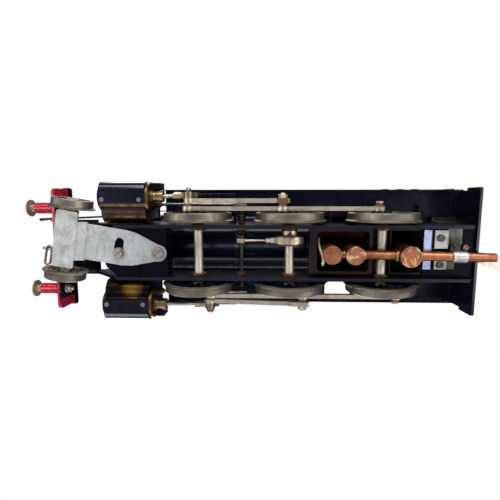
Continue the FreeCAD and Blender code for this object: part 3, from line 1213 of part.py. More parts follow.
def make_safety_valves():
    z0 = BOILER_Z + FIREBOX_HALF_WIDTH
    base = turned_z([(0, z0 - 5.2), (2.0, z0 - 5.2), (2.0, z0 - 1.0), (5.4, z0 - 1.0), (5.4, z0 + 1.4),
                     (4.4, z0 + 2.2), (0, z0 + 2.2)], SAFETY_VALVE_X, 0)
    base = cut(base, cut(rod_x((-60, -20), 0, BOILER_Z, z0 - BOILER_Z + 0.02),
                         rod_z(SAFETY_VALVE_X, 0, (90, 110), 2.05)))
    columns = [
        turned_z([(0, z0 + 2.0), (1.7, z0 + 2.0), (1.5, z0 + 6.0), (2.1, z0 + 6.6), (2.1, z0 + 8.0),
                  (0.7, z0 + 8.4), (0.7, z0 + 10.4), (0, z0 + 10.4)], SAFETY_VALVE_X, y)
        for y in (-2.2, 2.2)
    ]
    export("safety_valves", fuse(base, *columns))


def make_handrails():
    """A long rail on knobs along each side of the boiler and smokebox."""
    z = BOILER_Z + 9.0
    x_ends = (-14.0, 122.0)
    rails = []
    for side in (-1, 1):
        y = side * 29.6
        pieces = [rod_x(x_ends, y, z, 0.7)]
        pieces += [rod_x((x - 1.0, x + 1.0), y, z, 1.0) for x in x_ends]
        for x in (-8.0, 32.0, 72.0, 116.0):
            foot_r = SMOKEBOX_R if x > SMOKEBOX_X[0] else BOILER_R
            foot_y = side * (math.sqrt(foot_r ** 2 - (z - BOILER_Z) ** 2) - 0.3)
            stem = rod_y(x, sorted((foot_y, y)), z, 0.8)
            pieces.append(cut(stem, rod_x((-90, 127), 0, BOILER_Z, foot_r + 0.02)))
            pieces.append(rod_y(x, (y - 1.2, y + 1.2), z, 1.25))
        rails.append(fuse(*pieces))
    export("handrails", rails)


# ---- cab -----------------------------------------------------------------------------------------------
def roof_arc(z_edge, half_width, rise):
    return V(0, -half_width, z_edge), V(0, 0, z_edge + rise), V(0, half_width, z_edge)


def arched_plate(x, half_width, z_low, z_edge, rise):
    a, b, c = roof_arc(z_edge, half_width, rise)
    low_a, low_c = V(0, -half_width, z_low), V(0, half_width, z_low)
    wire = Part.Wire([Part.Arc(a, b, c).toShape(), Part.makeLine(c, low_c), Part.makeLine(low_c, low_a),
                      Part.makeLine(low_a, a)])
    plate = Part.Face(wire).extrude(V(x[1] - x[0], 0, 0))
    plate.translate(V(x[0], 0, 0))
    return plate


def make_cab():
    """Front plate, side sheets with cut-outs, floor and grab rails."""
    x0, x1 = CAB_X
    half = CAB_HALF_WIDTH
    z0 = BOARD_Z[1]
    front = arched_plate((x1 - 1.2, x1), half, z0, CAB_EAVE_Z, ROOF_RISE)
    notch = round_top((x1 - 5, x1 + 5), FIREBOX_HALF_WIDTH, z0 - 5, 0.05)
    front = cut(front, notch)
    spectacle = rounded(box((x1 - 5, x1 + 5), (28.8, 37.2), (80.0, 97.0)), 2.0, across_x)
    front = cut(front, *pair(spectacle))
    side = box((x0, x1), (half - 1.2, half), (z0, CAB_EAVE_Z))
    window = rounded(box((x0 + 20, x1 - 9), (30, 50), (79.0, 96.0)), 3.0,
                     across_y)
    doorway = prism_y([(x0 - 1, z0 + 21), (x0 + 9, z0 + 21), (x0 + 13, z0 + 25), (x0 + 13, z0 + 40),
                       (x0 + 9, z0 + 44), (x0 - 1, z0 + 44)], (30, 50))
    side = cut(side, window, doorway)
    floor = cut(box((x0, FIREBOX_X[0] - 1.5), (-half + 1.2, half - 1.2), (z0, z0 + 1.2)),
                box((-130, -60), (-1, 1), (z0 - 5, z0 - 1)))
    beading = [box((x0, x0 + 1.2), (half - 3.2, half - 1.2), (z0 + 1.2, z0 + 21)),
               rod_z(x0 + 1.2, half + 1.4, (z0 + 3, z0 + 20), 0.6)]
    posts = [rod_y(x0 + 1.2, (half - 0.2, half + 1.4), z, 0.5) for z in (z0 + 4, z0 + 19)]
    shell = fuse(front, floor, *pair(side), *pair(fuse(beading[1], *posts)), *pair(beading[0]))
    export("cab", shell)


def make_cab_roof():
    """An arched sheet roof that lifts about the left eave for access to the controls."""
    x = (CAB_X[0] - 4.0, CAB_X[1] + 4.0)
    half = 42.2
    gap = 0.15
    thickness = 1.1
    radius = (CAB_HALF_WIDTH ** 2 + ROOF_RISE ** 2) / (2 * ROOF_RISE)
    centre_z = CAB_EAVE_Z + ROOF_RISE - radius
    outer = rod_x(x, 0, centre_z, radius + gap + thickness)
    inner = rod_x((x[0] - 1, x[1] + 1), 0, centre_z, radius + gap)
    window = box(x, (-half, half), (CAB_EAVE_Z - 10.0, CAB_EAVE_Z + 20.0))
    sheet = cut(outer, inner).common(window)
    ribs = [
        cut(rod_x((rx, rx + 1.0), 0, centre_z, radius + gap + thickness + 0.5), inner).common(window)
        for rx in (x[0], -99.5, x[1] - 1.0)
    ]
    vent = box((-98.0, -84.0), (-9.0, 9.0), (CAB_EAVE_Z + 8.4, CAB_EAVE_Z + 11.6))
    vent = rounded(vent, 1.0, vertical_edge)
    vent = cut(vent, inner)
    barrels = [rod_x((bx, bx + 6.0), half, CAB_EAVE_Z, 0.9) for bx in (-114.0, -101.5, -89.0)]
    export("cab_roof", fuse(sheet, vent, *ribs, *barrels))


def make_backhead():
    """The backhead plate with fire door, gauges, blower valve and regulator stuffing box."""
    x0, x1 = BACKHEAD_X
    plate = cut(round_top((x0, x1), FIREBOX_HALF_WIDTH, BOARD_Z[1] + 1.3, -0.3),
                box((x0 - 5, x1 + 5), (-40, 40), (0, BOARD_Z[1] + 1.3)))
    door = rounded(box((x0 - 1.4, x0), (-7.0, 7.0), (60.0, 70.0)), 2.0,
                   across_x)
    gauge = turned_x(
        [(x0, 0), (x0, 1.2), (x0 - 2.4, 1.2), (x0 - 2.4, 5.0), (x0 - 4.6, 5.0), (x0 - 4.6, 4.3),
         (x0 - 4.2, 4.3), (x0 - 4.2, 0)],
        10.0, 94.0,
    )
    stuffing = rod_x((x0 - 2.4, x0), REGULATOR_PIVOT[0], REGULATOR_PIVOT[1], 3.0)
    blocks = [box((x0 - 3.4, x0), (-20.6, -17.4), (z, z + 3.0)) for z in (70.0, 86.0)]
    valve = fuse(rod_x((x0 - 4.0, x0), 15.5, 80.0, 1.2), rod_x((x0 - 5.4, x0 - 4.0), 15.5, 80.0, 3.0))
    spindle_hole = rod_x((x0 - 6, x1 + 2), REGULATOR_PIVOT[0], REGULATOR_PIVOT[1], 1.05)
    export("backhead", cut(fuse(plate, door, gauge, stuffing, valve, *blocks), spindle_hole))
    glass = rod_z(x0 - 2.0, -19.0, (73.0, 86.0), 1.1)
    export("gauge_glass", glass)


def make_regulator():
    x0 = BACKHEAD_X[0]
    y, z = REGULATOR_PIVOT
    spindle = rod_x((x0 - 5.2, x0 + 0.8), y, z, 1.0)
    boss = rod_x((x0 - 4.6, x0 - 2.6), y, z, 2.2)
    arm = box((x0 - 4.4, x0 - 3.0), (y - 13.0, y), (z - 0.9, z + 0.9))
    knob = Part.makeSphere(1.6, V(x0 - 3.7, y - 13.4, z))
    export("regulator_handle", fuse(spindle, boss, arm, knob))


# ---- screws --------------------------------------------------------------------------------------------
def make_screws(drawbar_pin):
    """All loose fasteners of the chassis: the pony pivot and guide screws first, then the small ones."""
    pivot = screw((PONY_PIVOT_X, 0, PONY_PLATE_Z[0] - 0.08), DOWN, 3.7, 1.5, PIVOT_SHANK_R, 5.4)
    washer_z = (PONY_PLATE_Z[0] - 0.65, PONY_PLATE_Z[0] - 0.15)
    guide = screw((GUIDE_SCREW_X, 0, washer_z[0]), DOWN, 2.9, 1.4, GUIDE_SHANK_R, 5.9)
    washer = cut(rod_z(GUIDE_SCREW_X, 0, washer_z, 3.7), rod_z(GUIDE_SCREW_X, 0, (5, 20), GUIDE_SHANK_R))
    small = []
    for point in WRAPPER_SCREW_POINTS:
        small += pair(screw(point, DOWN, 1.4, 0.6, WRAPPER_SHANK_R, WRAPPER_SHANK))
    for y in REAR_SCREW_Y:
        small.append(screw((REAR_SCREW_X, y, 19.0), DOWN, 2.3, 0.9, BLOCK_SCREW_R, 3.0))
    small.append(screw(CLIP_SCREW_POINT, DOWN, 2.0, 1.2, CLIP_SHANK_R, 1.0))
    small.append(screw(PLATE_SCREW_POINT, DOWN, 1.9, 1.0, PLATE_SHANK_R, 1.0))
    export("screws", pivot, guide, washer, drawbar_pin, *small)


def main():
    spacers = make_connecting_rods()
    make_wheelset("front", AXLE_X[0], 31.7, 22.0, [])
    make_wheelset("driving", AXLE_X[1], 38.2, 32.0, spacers)
    make_wheelset("rear", AXLE_X[2], 33.0, 22.0, [])
    make_eccentric()
    make_eccentric_strap()
    make_rocker_shaft()
    make_coupling_rods()
    make_crossheads()
    make_valve_spindles()
    make_slide_bars()
    make_cylinders()
    make_cylinder_wrappers()
    make_cylinder_covers()
    make_gland_nuts()
    make_frames()
    make_bushes()
    make_stretchers()
    make_running_boards()
    make_buffer_beam()
    make_front_platform()
    make_drag_beam()
    make_rear_blocks()
    make_buffers()
    make_brake_hose()
    make_coupling()
    drawbar_pin = make_drawbar()
    make_pony_truck()
    inner_boiler = make_boiler()
    blast_pipe, cone = make_smokebox()
    export("inner_boiler", inner_boiler, blast_pipe, cone)
    make_smokebox_door()
    make_chimney()
    make_dome()
    make_firebox()
    make_burner_housing()
    make_burner()
    make_wicks()
    make_safety_valves()
    make_handrails()
    make_cab()
    make_cab_roof()
    make_backhead()
    make_regulator()
    make_screws(drawbar_pin)


main()
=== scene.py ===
import math
import random

import bmesh
import bpy
from mathutils import Matrix, Vector


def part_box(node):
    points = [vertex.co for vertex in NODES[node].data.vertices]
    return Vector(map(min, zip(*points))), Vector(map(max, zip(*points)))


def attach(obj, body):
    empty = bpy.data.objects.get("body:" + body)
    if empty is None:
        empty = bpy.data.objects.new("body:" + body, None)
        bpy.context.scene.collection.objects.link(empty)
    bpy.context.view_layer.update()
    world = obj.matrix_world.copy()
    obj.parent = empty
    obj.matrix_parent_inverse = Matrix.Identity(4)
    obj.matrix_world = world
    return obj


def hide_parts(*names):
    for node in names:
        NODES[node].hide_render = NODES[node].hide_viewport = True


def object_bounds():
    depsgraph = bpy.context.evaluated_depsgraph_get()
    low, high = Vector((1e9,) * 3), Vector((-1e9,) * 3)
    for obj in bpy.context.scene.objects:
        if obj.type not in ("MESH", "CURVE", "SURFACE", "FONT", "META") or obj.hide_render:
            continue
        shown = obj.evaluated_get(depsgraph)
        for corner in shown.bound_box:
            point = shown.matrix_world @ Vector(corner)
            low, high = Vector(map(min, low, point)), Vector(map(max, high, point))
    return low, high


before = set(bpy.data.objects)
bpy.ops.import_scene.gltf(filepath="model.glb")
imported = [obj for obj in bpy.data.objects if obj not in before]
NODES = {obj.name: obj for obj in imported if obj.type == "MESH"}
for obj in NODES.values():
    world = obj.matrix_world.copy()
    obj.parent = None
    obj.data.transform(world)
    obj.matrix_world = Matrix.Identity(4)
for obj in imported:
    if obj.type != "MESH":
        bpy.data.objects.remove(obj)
cad_low, cad_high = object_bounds()

MM = 0.001


# ---- measures taken from the frame ---------------------------------------------------------------------
def middle(node):
    low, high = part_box(node)
    return (low + high) / 2


WHEEL_CENTRES = {end: middle("axle_" + end) for end in ("front", "driving", "rear")}


# ---- material tools ------------------------------------------------------------------------------------
def srgb(red, green, blue):
    """A linear colour from the usual 0 to 255 numbers."""
    shares = [c / 255 for c in (red, green, blue)]
    linear = [c / 12.92 if c <= 0.04045 else ((c + 0.055) / 1.055) ** 2.4 for c in shares]
    return (*linear, 1.0)


class Shader:
    """One node material. Each call adds a node and gives back the socket that carries its result."""

    def __init__(self, name):
        self.material = bpy.data.materials.new(name)
        self.material.use_nodes = True
        self.tree = self.material.node_tree
        self.tree.nodes.clear()
        self.surface = self.node("ShaderNodeBsdfPrincipled")
        output = self.node("ShaderNodeOutputMaterial")
        self.tree.links.new(self.surface.outputs["BSDF"], output.inputs["Surface"])
        self.place = self.node("ShaderNodeTexCoord").outputs["Object"]

    def node(self, kind, inputs=None, **settings):
        made = self.tree.nodes.new(kind)
        for key, value in settings.items():
            setattr(made, key, value)
        for key, value in (inputs or {}).items():
            self.put(made.inputs[key], value)
        return made

    def put(self, socket, value):
        if isinstance(value, bpy.types.NodeSocket):
            self.tree.links.new(value, socket)
        else:
            socket.default_value = value

    def set(self, **values):
        for key, value in values.items():
            self.put(self.surface.inputs[key.replace("_", " ")], value)

    def math(self, operation, a, b=0.0, clamp=False):
        made = self.node("ShaderNodeMath", {0: a, 1: b}, operation=operation, use_clamp=clamp)
        return made.outputs[0]

    def noise(self, scale, detail=3.0, roughness=0.55, vector=None, distortion=0.0):
        inputs = {
            "Vector": vector or self.place,
            "Scale": scale,
            "Detail": detail,
            "Roughness": roughness,
            "Distortion": distortion,
        }
        return self.node("ShaderNodeTexNoise", inputs).outputs["Fac"]

    def stretched(self, scales):
        inputs = {0: self.place, 1: scales}
        return self.node("ShaderNodeVectorMath", inputs, operation="MULTIPLY").outputs[0]

    def between(self, value, low, high, to_low=0.0, to_high=1.0):
        inputs = {"Value": value, 1: low, 2: high, 3: to_low, 4: to_high}
        return self.node("ShaderNodeMapRange", inputs, clamp=True).outputs[0]

    def blend(self, share, a, b):
        made = self.node("ShaderNodeMix", data_type="RGBA")
        self.put(made.inputs["Factor"], share)
        self.put(made.inputs[6], a)
        self.put(made.inputs[7], b)
        return made.outputs[2]

    def bump(self, height, depth, strength=1.0, normal=None):
        inputs = {"Height": height, "Distance": depth, "Strength": strength}
        if normal is not None:
            inputs["Normal"] = normal
        return self.node("ShaderNodeBump", inputs).outputs[0]

    def edges(self, radius, reach=0.25):
        """0 on flat ground, rising to 1 along sharp outer edges."""
        bevel = self.node("ShaderNodeBevel", {"Radius": radius}, samples=4).outputs[0]
        flat = self.node("ShaderNodeNewGeometry").outputs["Normal"]
        dot = self.node("ShaderNodeVectorMath", {0: bevel, 1: flat}, operation="DOT_PRODUCT")
        return self.between(dot.outputs["Value"], 1.0 - reach, 1.0, 1.0, 0.0)

    def crevices(self, distance):
        """1 in open ground, falling towards 0 deep in corners."""
        inputs = {"Distance": distance}
        return self.node("ShaderNodeAmbientOcclusion", inputs, samples=6).outputs["AO"]

    def zone(self, axis, low, high, soft=0.05 * MM):
        """1 where the position along an axis lies between low and high, 0 elsewhere."""
        value = self.node("ShaderNodeSeparateXYZ", {0: self.place}).outputs[axis]
        rising = self.between(value, low - soft, low + soft)
        falling = self.between(value, high - soft, high + soft, 1.0, 0.0)
        return self.math("MULTIPLY", rising, falling)

    def near(self, centre, inner, outer):
        """1 within the inner distance of a point, falling to 0 at the outer one."""
        away = self.node("ShaderNodeVectorMath", {0: self.place, 1: centre}, operation="DISTANCE")
        return self.between(away.outputs["Value"], inner, outer, 1.0, 0.0)

    def turned(self, centre, axis, fine):
        """Coordinates whose noise comes out as rings round an axis, as on lathe-turned metal."""
        offset = self.node("ShaderNodeVectorMath", {0: self.place, 1: centre}, operation="SUBTRACT")
        parts = self.node("ShaderNodeSeparateXYZ", {0: offset.outputs[0]}).outputs
        across = [parts[i] for i in range(3) if i != axis]
        squares = [self.math("MULTIPLY", s, s) for s in across]
        radius = self.math("SQRT", self.math("ADD", *squares))
        turn = self.math("ARCTAN2", across[0], across[1])
        inputs = {
            0: self.math("MULTIPLY", radius, fine),
            1: self.math("MULTIPLY", parts[axis], fine),
            2: self.math("MULTIPLY", turn, 0.6),
        }
        return self.node("ShaderNodeCombineXYZ", inputs).outputs[0]


def paint(
    name, deep, lit, rough, chip=None, chip_share=0.0, grime_and_shade=None, grime_and_shade_share=0.35, orange_peel=0.006,
    gloss=0.5, coat=0.25, zones=(),
):
    """Gloss enamel over metal: cloudy colour, orange peel, dust dulling and chips along the edges.

    Each zone is (mask maker, colour): another paint on the same node.
    """
    s = Shader(name)
    clouds = s.noise(55.0, 4.0, 0.6)
    colour = s.blend(s.between(clouds, 0.35, 0.7), deep, lit)
    dust = s.between(s.noise(240.0, 6.0, 0.65), 0.45, 0.85)
    for mask, tint in zones:
        colour = s.blend(mask(s), colour, tint)
    # In the crevices the colour moves towards the given colour: pale dust on the black paints; on the red
    # beam a darker red, which is painted shade.
    if grime_and_shade:
        corners = s.between(s.crevices(6 * MM), 0.35, 0.95, 1.0, 0.0)
        corner_grime_and_shade = s.math("MULTIPLY", corners, s.between(clouds, 0.3, 0.6), clamp=True)
        colour = s.blend(s.math("MULTIPLY", corner_grime_and_shade, grime_and_shade_share), colour, grime_and_shade)
    roughness = s.math("ADD", s.math("MULTIPLY", dust, 0.12), rough)
    metallic = 0.0
    if chip:
        ragged = s.between(s.noise(900.0, 5.0, 0.7), 0.52, 0.64)
        worn = s.math("MULTIPLY", s.edges(0.3 * MM), ragged, clamp=True)
        metallic = s.math("MULTIPLY", worn, chip_share)
        colour = s.blend(metallic, colour, chip)
        roughness = s.math("ADD", roughness, s.math("MULTIPLY", metallic, 0.25))
    peel = s.bump(s.noise(1500.0, 2.0), orange_peel * MM)
    speck = s.bump(s.between(s.noise(700.0, 2.0, 0.4), 0.76, 0.82), 0.02 * MM, 0.4, peel)
    s.set(Base_Color=colour, Roughness=roughness, Metallic=metallic, Normal=speck)
    s.set(Specular_IOR_Level=gloss, Coat_Weight=coat, Coat_Roughness=0.06)
    return s.material


def metal(
    name, bright, dull, rough, grain=None, turned=None, stain=None, stain_share=0.0,
    patches=(70.0, 0.45, 0.7), grooves=0.02, scratches=True, fine=900.0, zones=(),
):
    """Bare metal: uneven tarnish, machining marks along the grain, darker corners and rubbed edges.

    Each zone is (mask maker, bright, dull): another metal in the same node.
    """
    s = Shader(name)
    tarnish = s.between(s.noise(patches[0], 5.0, 0.62), patches[1], patches[2])
    colour = s.blend(tarnish, bright, dull)
    for mask, zone_bright, zone_dull in zones:
        colour = s.blend(mask(s), colour, s.blend(tarnish, zone_bright, zone_dull))
    if turned:
        along = s.turned(turned[0], turned[1], fine)
        marks = s.noise(3.0, 4.0, 0.7, along)
    elif grain:
        marks = s.noise(3.0, 4.0, 0.7, s.stretched(grain))
    else:
        marks = s.noise(650.0, 4.0, 0.7)
    shade = s.between(marks, 0.3, 0.7, 0.78, 1.12)
    colour = s.node("ShaderNodeVectorMath", {0: colour, 1: shade}, operation="MULTIPLY").outputs[0]
    if stain:
        pooled = s.between(s.noise(130.0, 6.0, 0.7, distortion=0.6), 0.48, 0.66)
        corners = s.between(s.crevices(4 * MM), 0.3, 0.9, 1.0, 0.0)
        share = s.math("MULTIPLY", s.math("MAXIMUM", pooled, corners), stain_share, clamp=True)
        colour = s.blend(share, colour, stain)
        rough = s.math("ADD", s.math("MULTIPLY", share, 0.25), rough)
    lightened = s.math("MULTIPLY", s.edges(0.3 * MM), 0.5)
    colour = s.blend(lightened, colour, bright)
    roughness = s.math("ADD", s.between(tarnish, 0.0, 1.0, 0.0, 0.16), rough)
    roughness = s.math("SUBTRACT", roughness, s.math("MULTIPLY", lightened, 0.12))
    normal = s.bump(marks, grooves * MM)
    if scratches:
        scratch = s.between(s.noise(1.0, 2.0, 0.5, s.stretched((180.0, 2600.0, 900.0)), 0.4), 0.68, 0.74)
        normal = s.bump(scratch, -0.02 * MM, 0.5, normal)
    s.set(Base_Color=colour, Roughness=roughness, Metallic=1.0, Normal=normal)
    return s.material


def fibre(name, light, dark):
    s = Shader(name)
    strands = s.noise(1.0, 4.0, 0.7, s.stretched((2600.0, 2600.0, 260.0)))
    soot = s.between(s.noise(160.0, 4.0), 0.4, 0.7)
    colour = s.blend(s.between(strands, 0.35, 0.65), dark, light)
    s.set(Base_Color=s.blend(s.math("MULTIPLY", soot, 0.4), colour, dark))
    s.set(Roughness=0.9, Sheen_Weight=0.4, Normal=s.bump(strands, 0.12 * MM))
    return s.material


def rubber(name):
    s = Shader(name)
    bloom = s.between(s.noise(90.0, 5.0), 0.4, 0.75)
    s.set(Base_Color=s.blend(bloom, srgb(15, 15, 17), srgb(40, 39, 38)))
    s.set(Roughness=s.between(bloom, 0.0, 1.0, 0.42, 0.62), Normal=s.bump(s.noise(1200.0, 3.0), 0.02 * MM))
    return s.material


def clear_glass(name):
    s = Shader(name)
    smear = s.noise(300.0, 3.0)
    s.set(Base_Color=s.blend(smear, srgb(226, 238, 240), srgb(205, 222, 222)), Transmission_Weight=0.9)
    s.set(Roughness=s.between(smear, 0.3, 0.7, 0.03, 0.12), IOR=1.5, Normal=s.bump(smear, 0.01 * MM))
    return s.material


# ---- materials -----------------------------------------------------------------------------------------
BARE_STEEL = srgb(104, 98, 92)
OIL_BROWN = srgb(58, 40, 24)
BLACK_LOW, BLACK_HIGH = srgb(3, 4, 12), srgb(6, 8, 22)

BLACK = paint("black_enamel", BLACK_LOW, BLACK_HIGH, 0.14, chip=BARE_STEEL, chip_share=0.35)
BOILER_BLACK = paint(
    "boiler_enamel", srgb(3, 4, 16), srgb(6, 9, 30), 0.20, chip=BARE_STEEL, chip_share=0.2, coat=0.0,
    gloss=0.30, orange_peel=0.001,
)
BAND_BLACK = paint("band_enamel", srgb(14, 15, 24), srgb(24, 25, 34), 0.2, chip=BARE_STEEL, chip_share=0.5)
PLATE_BLACK = paint(
    "plate_enamel", srgb(3, 4, 10), srgb(8, 9, 20), 0.34, chip=BARE_STEEL, chip_share=0.5, gloss=0.05,
    coat=0.0, grime_and_shade=srgb(30, 26, 26), grime_and_shade_share=0.3,
)
DUSTY_BLACK = paint(
    "black_enamel_dusty", BLACK_LOW, srgb(9, 10, 22), 0.20, chip=BARE_STEEL, chip_share=0.4, gloss=0.3,
    coat=0.1, grime_and_shade=srgb(26, 23, 24), grime_and_shade_share=0.35,
)
FRAME_BLACK = paint(
    "frame_enamel", srgb(3, 4, 11), srgb(11, 12, 26), 0.30, chip=BARE_STEEL, chip_share=0.6,
    grime_and_shade=srgb(30, 26, 26), grime_and_shade_share=0.3, gloss=0.22, coat=0.06,
)
WRAPPER_BLACK = paint(
    "wrapper_enamel", srgb(8, 9, 16), srgb(16, 17, 28), 0.17, chip=srgb(150, 112, 60), chip_share=0.8,
)


def beam_red():
    """Red outside; the back of the beam is black between its red ends."""
    low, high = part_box("buffer_beam")
    back = low.x + 1.3 * MM
    black_back = (
        lambda s: s.math(
            "MULTIPLY", s.zone(0, back - 0.3 * MM, back + 0.3 * MM), s.zone(1, -35 * MM, 35 * MM),
        ),
        srgb(12, 10, 12),
    )
    # The darker red laid into the beam's crevices is painted shade.
    return paint(
        "red_enamel", srgb(150, 14, 26), srgb(186, 30, 42), 0.24, chip=srgb(38, 20, 22), chip_share=0.6,
        grime_and_shade=srgb(52, 8, 20), grime_and_shade_share=0.75, zones=(black_back,),
    )


RED = beam_red()
SCORCHED = paint(
    "scorched_enamel", srgb(12, 8, 8), srgb(44, 25, 19), 0.26, grime_and_shade=srgb(84, 50, 34), grime_and_shade_share=0.55,
    gloss=0.12, coat=0.0,
)
SOOTED = metal("sooted_copper", srgb(30, 19, 15), srgb(12, 9, 9), 0.5, stain=srgb(6, 5, 6), stain_share=0.7)
STEEL = metal(
    "dull_steel", srgb(170, 162, 148), srgb(118, 108, 94), 0.34, grain=(900.0, 60.0, 900.0),
    stain=srgb(84, 62, 40), stain_share=0.35,
)


def axle_metal(end):
    """Pale turned steel. On the crank pins, the spacers between the rods are browned bronze."""
    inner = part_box("coupling_rod_left")[1].y
    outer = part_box("connecting_rod_left")[0].y
    browned = srgb(142, 104, 74), srgb(96, 66, 46)
    spacers = [
        (lambda s: s.zone(1, inner, outer), *browned),
        (lambda s: s.zone(1, -outer, -inner), *browned),
    ]
    return metal(
        "axle_steel_" + end, srgb(212, 203, 184), srgb(180, 169, 150), 0.52, grain=(700.0, 60.0, 700.0),
        stain=srgb(98, 78, 54), stain_share=0.35, zones=spacers,
    )


# The rocker shaft's steel is coloured dark as painted shade, for the shadow it lies in; the near-black stains
# over it are oil.
SHADOWED_STEEL = metal(
    "shadowed_oily_steel", srgb(62, 56, 54), srgb(26, 24, 28), 0.34, grain=(900.0, 60.0, 900.0),
    stain=srgb(18, 14, 14), stain_share=0.5,
)
BRIGHT_STEEL = metal(
    "bright_steel", srgb(200, 196, 188), srgb(152, 144, 130), 0.26, stain=OIL_BROWN, stain_share=0.25,
)
LINK_STEEL = metal(
    "link_steel", srgb(140, 126, 116), srgb(92, 78, 68), 0.34, stain=OIL_BROWN, stain_share=0.5,
)
SCREWS = metal(
    "screw_steel", srgb(160, 152, 138), srgb(116, 105, 90), 0.40, grain=(500.0, 500.0, 60.0),
    stain=srgb(64, 48, 34), stain_share=0.55, grooves=0.04,
    zones=((lambda s: s.zone(0, -110 * MM, -90 * MM), srgb(92, 88, 80), srgb(56, 52, 48)),),
)
ZINC = metal(
    "zinc_plate", srgb(190, 192, 184), srgb(160, 163, 158), 0.44, grain=(300.0, 70.0, 70.0),
    stain=srgb(112, 112, 98), stain_share=0.4, patches=(38.0, 0.35, 0.7), grooves=0.006,
)
DRAWBAR_METAL = metal(
    "pale_bar", srgb(206, 200, 184), srgb(180, 172, 154), 0.46, grain=(60.0, 700.0, 700.0),
    stain=srgb(128, 116, 96), stain_share=0.25,
)
BRONZE = metal(
    "oiled_bronze", srgb(106, 72, 50), srgb(60, 40, 30), 0.40, stain=srgb(26, 14, 12), stain_share=0.65,
)
BRASS = metal("brass", srgb(140, 122, 82), srgb(96, 80, 52), 0.36, stain=srgb(46, 32, 18), stain_share=0.55)
SOLDER = metal(
    "brass_solder", srgb(208, 172, 118), srgb(150, 112, 66), 0.3, stain=srgb(70, 42, 26), stain_share=0.4,
)
WICK = fibre("wick_yarn", srgb(222, 214, 196), srgb(150, 138, 118))
RUBBER = rubber("hose_rubber")
GLASS = clear_glass("gauge_glass")


def rod_metal(name, browned=None):
    """Oiled nickel silver. browned is an axis, and the range along it where the metal is browned."""
    zones = []
    if browned:
        zones.append((lambda s: s.zone(*browned), srgb(146, 110, 76), srgb(98, 70, 48)))
    return metal(
        "nickel_silver_" + name, srgb(200, 188, 164), srgb(158, 145, 120), 0.38, grain=(40.0, 1500.0, 1500.0),
        stain=OIL_BROWN, stain_share=0.35, zones=zones,
    )


def big_end(name):
    """The X range round the crank pin at a connecting rod's rear end."""
    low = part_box(name)[0]
    return 0, low.x + 1.2 * MM, low.x + 8.6 * MM


def eccentric_metal():
    """A bright set collar beside a browned sheave."""
    low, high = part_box("eccentric")
    sheave = (lambda s: s.zone(1, low.y - MM, high.y - 2.7 * MM), srgb(104, 84, 62), srgb(62, 48, 36))
    return metal(
        "eccentric_steel", srgb(176, 162, 142), srgb(130, 116, 98), 0.34, turned=(middle("eccentric"), 1),
        stain=OIL_BROWN, stain_share=0.4, scratches=False, zones=(sheave,),
    )


def casting_metal():
    """Oil-darkened bronze. The right casting is nearly black, with one painted golden reflection on it."""
    low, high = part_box("cylinder_blocks")
    gold_reflection_centre = Vector((low.x + 11.0 * MM, low.y + 21.5 * MM, low.z + 1.0 * MM))
    right = (lambda s: s.zone(1, low.y - MM, 0.0), srgb(34, 27, 24), srgb(13, 11, 14))
    # The golden spot on the right casting is a painted reflection.
    lightened = (lambda s: s.near(gold_reflection_centre, 2.0 * MM, 8.0 * MM), srgb(156, 116, 46), srgb(100, 70, 28))
    return metal(
        "cylinder_bronze", srgb(88, 70, 58), srgb(52, 40, 34), 0.30, stain=srgb(20, 14, 14), stain_share=0.6,
        turned=(middle("cylinder_blocks"), 0), fine=260.0, scratches=False, zones=(right, lightened),
    )


def crosshead_metal(side):
    """Beige block, pale lock nut and steel piston rod."""
    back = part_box("crosshead_" + side)[0].x
    nut = (lambda s: s.zone(0, back + 8.7 * MM, back + 15.5 * MM), srgb(196, 182, 148), srgb(144, 126, 92))
    rod = (lambda s: s.zone(0, back + 15.5 * MM, back + 90 * MM), srgb(190, 184, 172), srgb(146, 138, 126))
    return metal(
        "crosshead_metal_" + side, srgb(150, 138, 110), srgb(104, 92, 68), 0.36, stain=OIL_BROWN,
        stain_share=0.5, zones=(nut, rod),
    )


def cover_metal():
    """Dark front covers; the rear ones are tan brass at the rim."""
    low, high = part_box("cylinder_covers")
    rear = (lambda s: s.zone(0, low.x - MM, low.x + 2.2 * MM), srgb(116, 92, 62), srgb(72, 54, 38))
    return metal(
        "cover_metal", srgb(66, 54, 44), srgb(34, 28, 26), 0.32, stain=srgb(18, 14, 12), stain_share=0.6,
        turned=(middle("cylinder_covers"), 0), scratches=False, zones=(rear,),
    )


def rear_plate_metal():
    """Zinc blocks; a blue-white strip, darker second plates, a bright clip and a green-grey side strip."""
    low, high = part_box("rear_blocks")
    front = high.x
    strip = (lambda s: s.zone(0, front - 5.3 * MM, front + MM), srgb(176, 188, 214), srgb(140, 154, 184))
    plates = (lambda s: s.zone(0, low.x - MM, front - 14.7 * MM), srgb(92, 94, 86), srgb(62, 64, 58))
    outer = (lambda s: s.zone(1, 16 * MM, 30 * MM), srgb(92, 96, 78), srgb(62, 66, 54))
    clip = (lambda s: s.zone(2, 0.0, 18.7 * MM), srgb(214, 212, 204), srgb(168, 164, 154))
    return metal(
        "rear_plate_zinc", srgb(160, 158, 150), srgb(122, 118, 110), 0.36, grain=(70.0, 300.0, 70.0),
        stain=srgb(96, 88, 74), stain_share=0.35, grooves=0.008, zones=(strip, plates, outer, clip),
    )


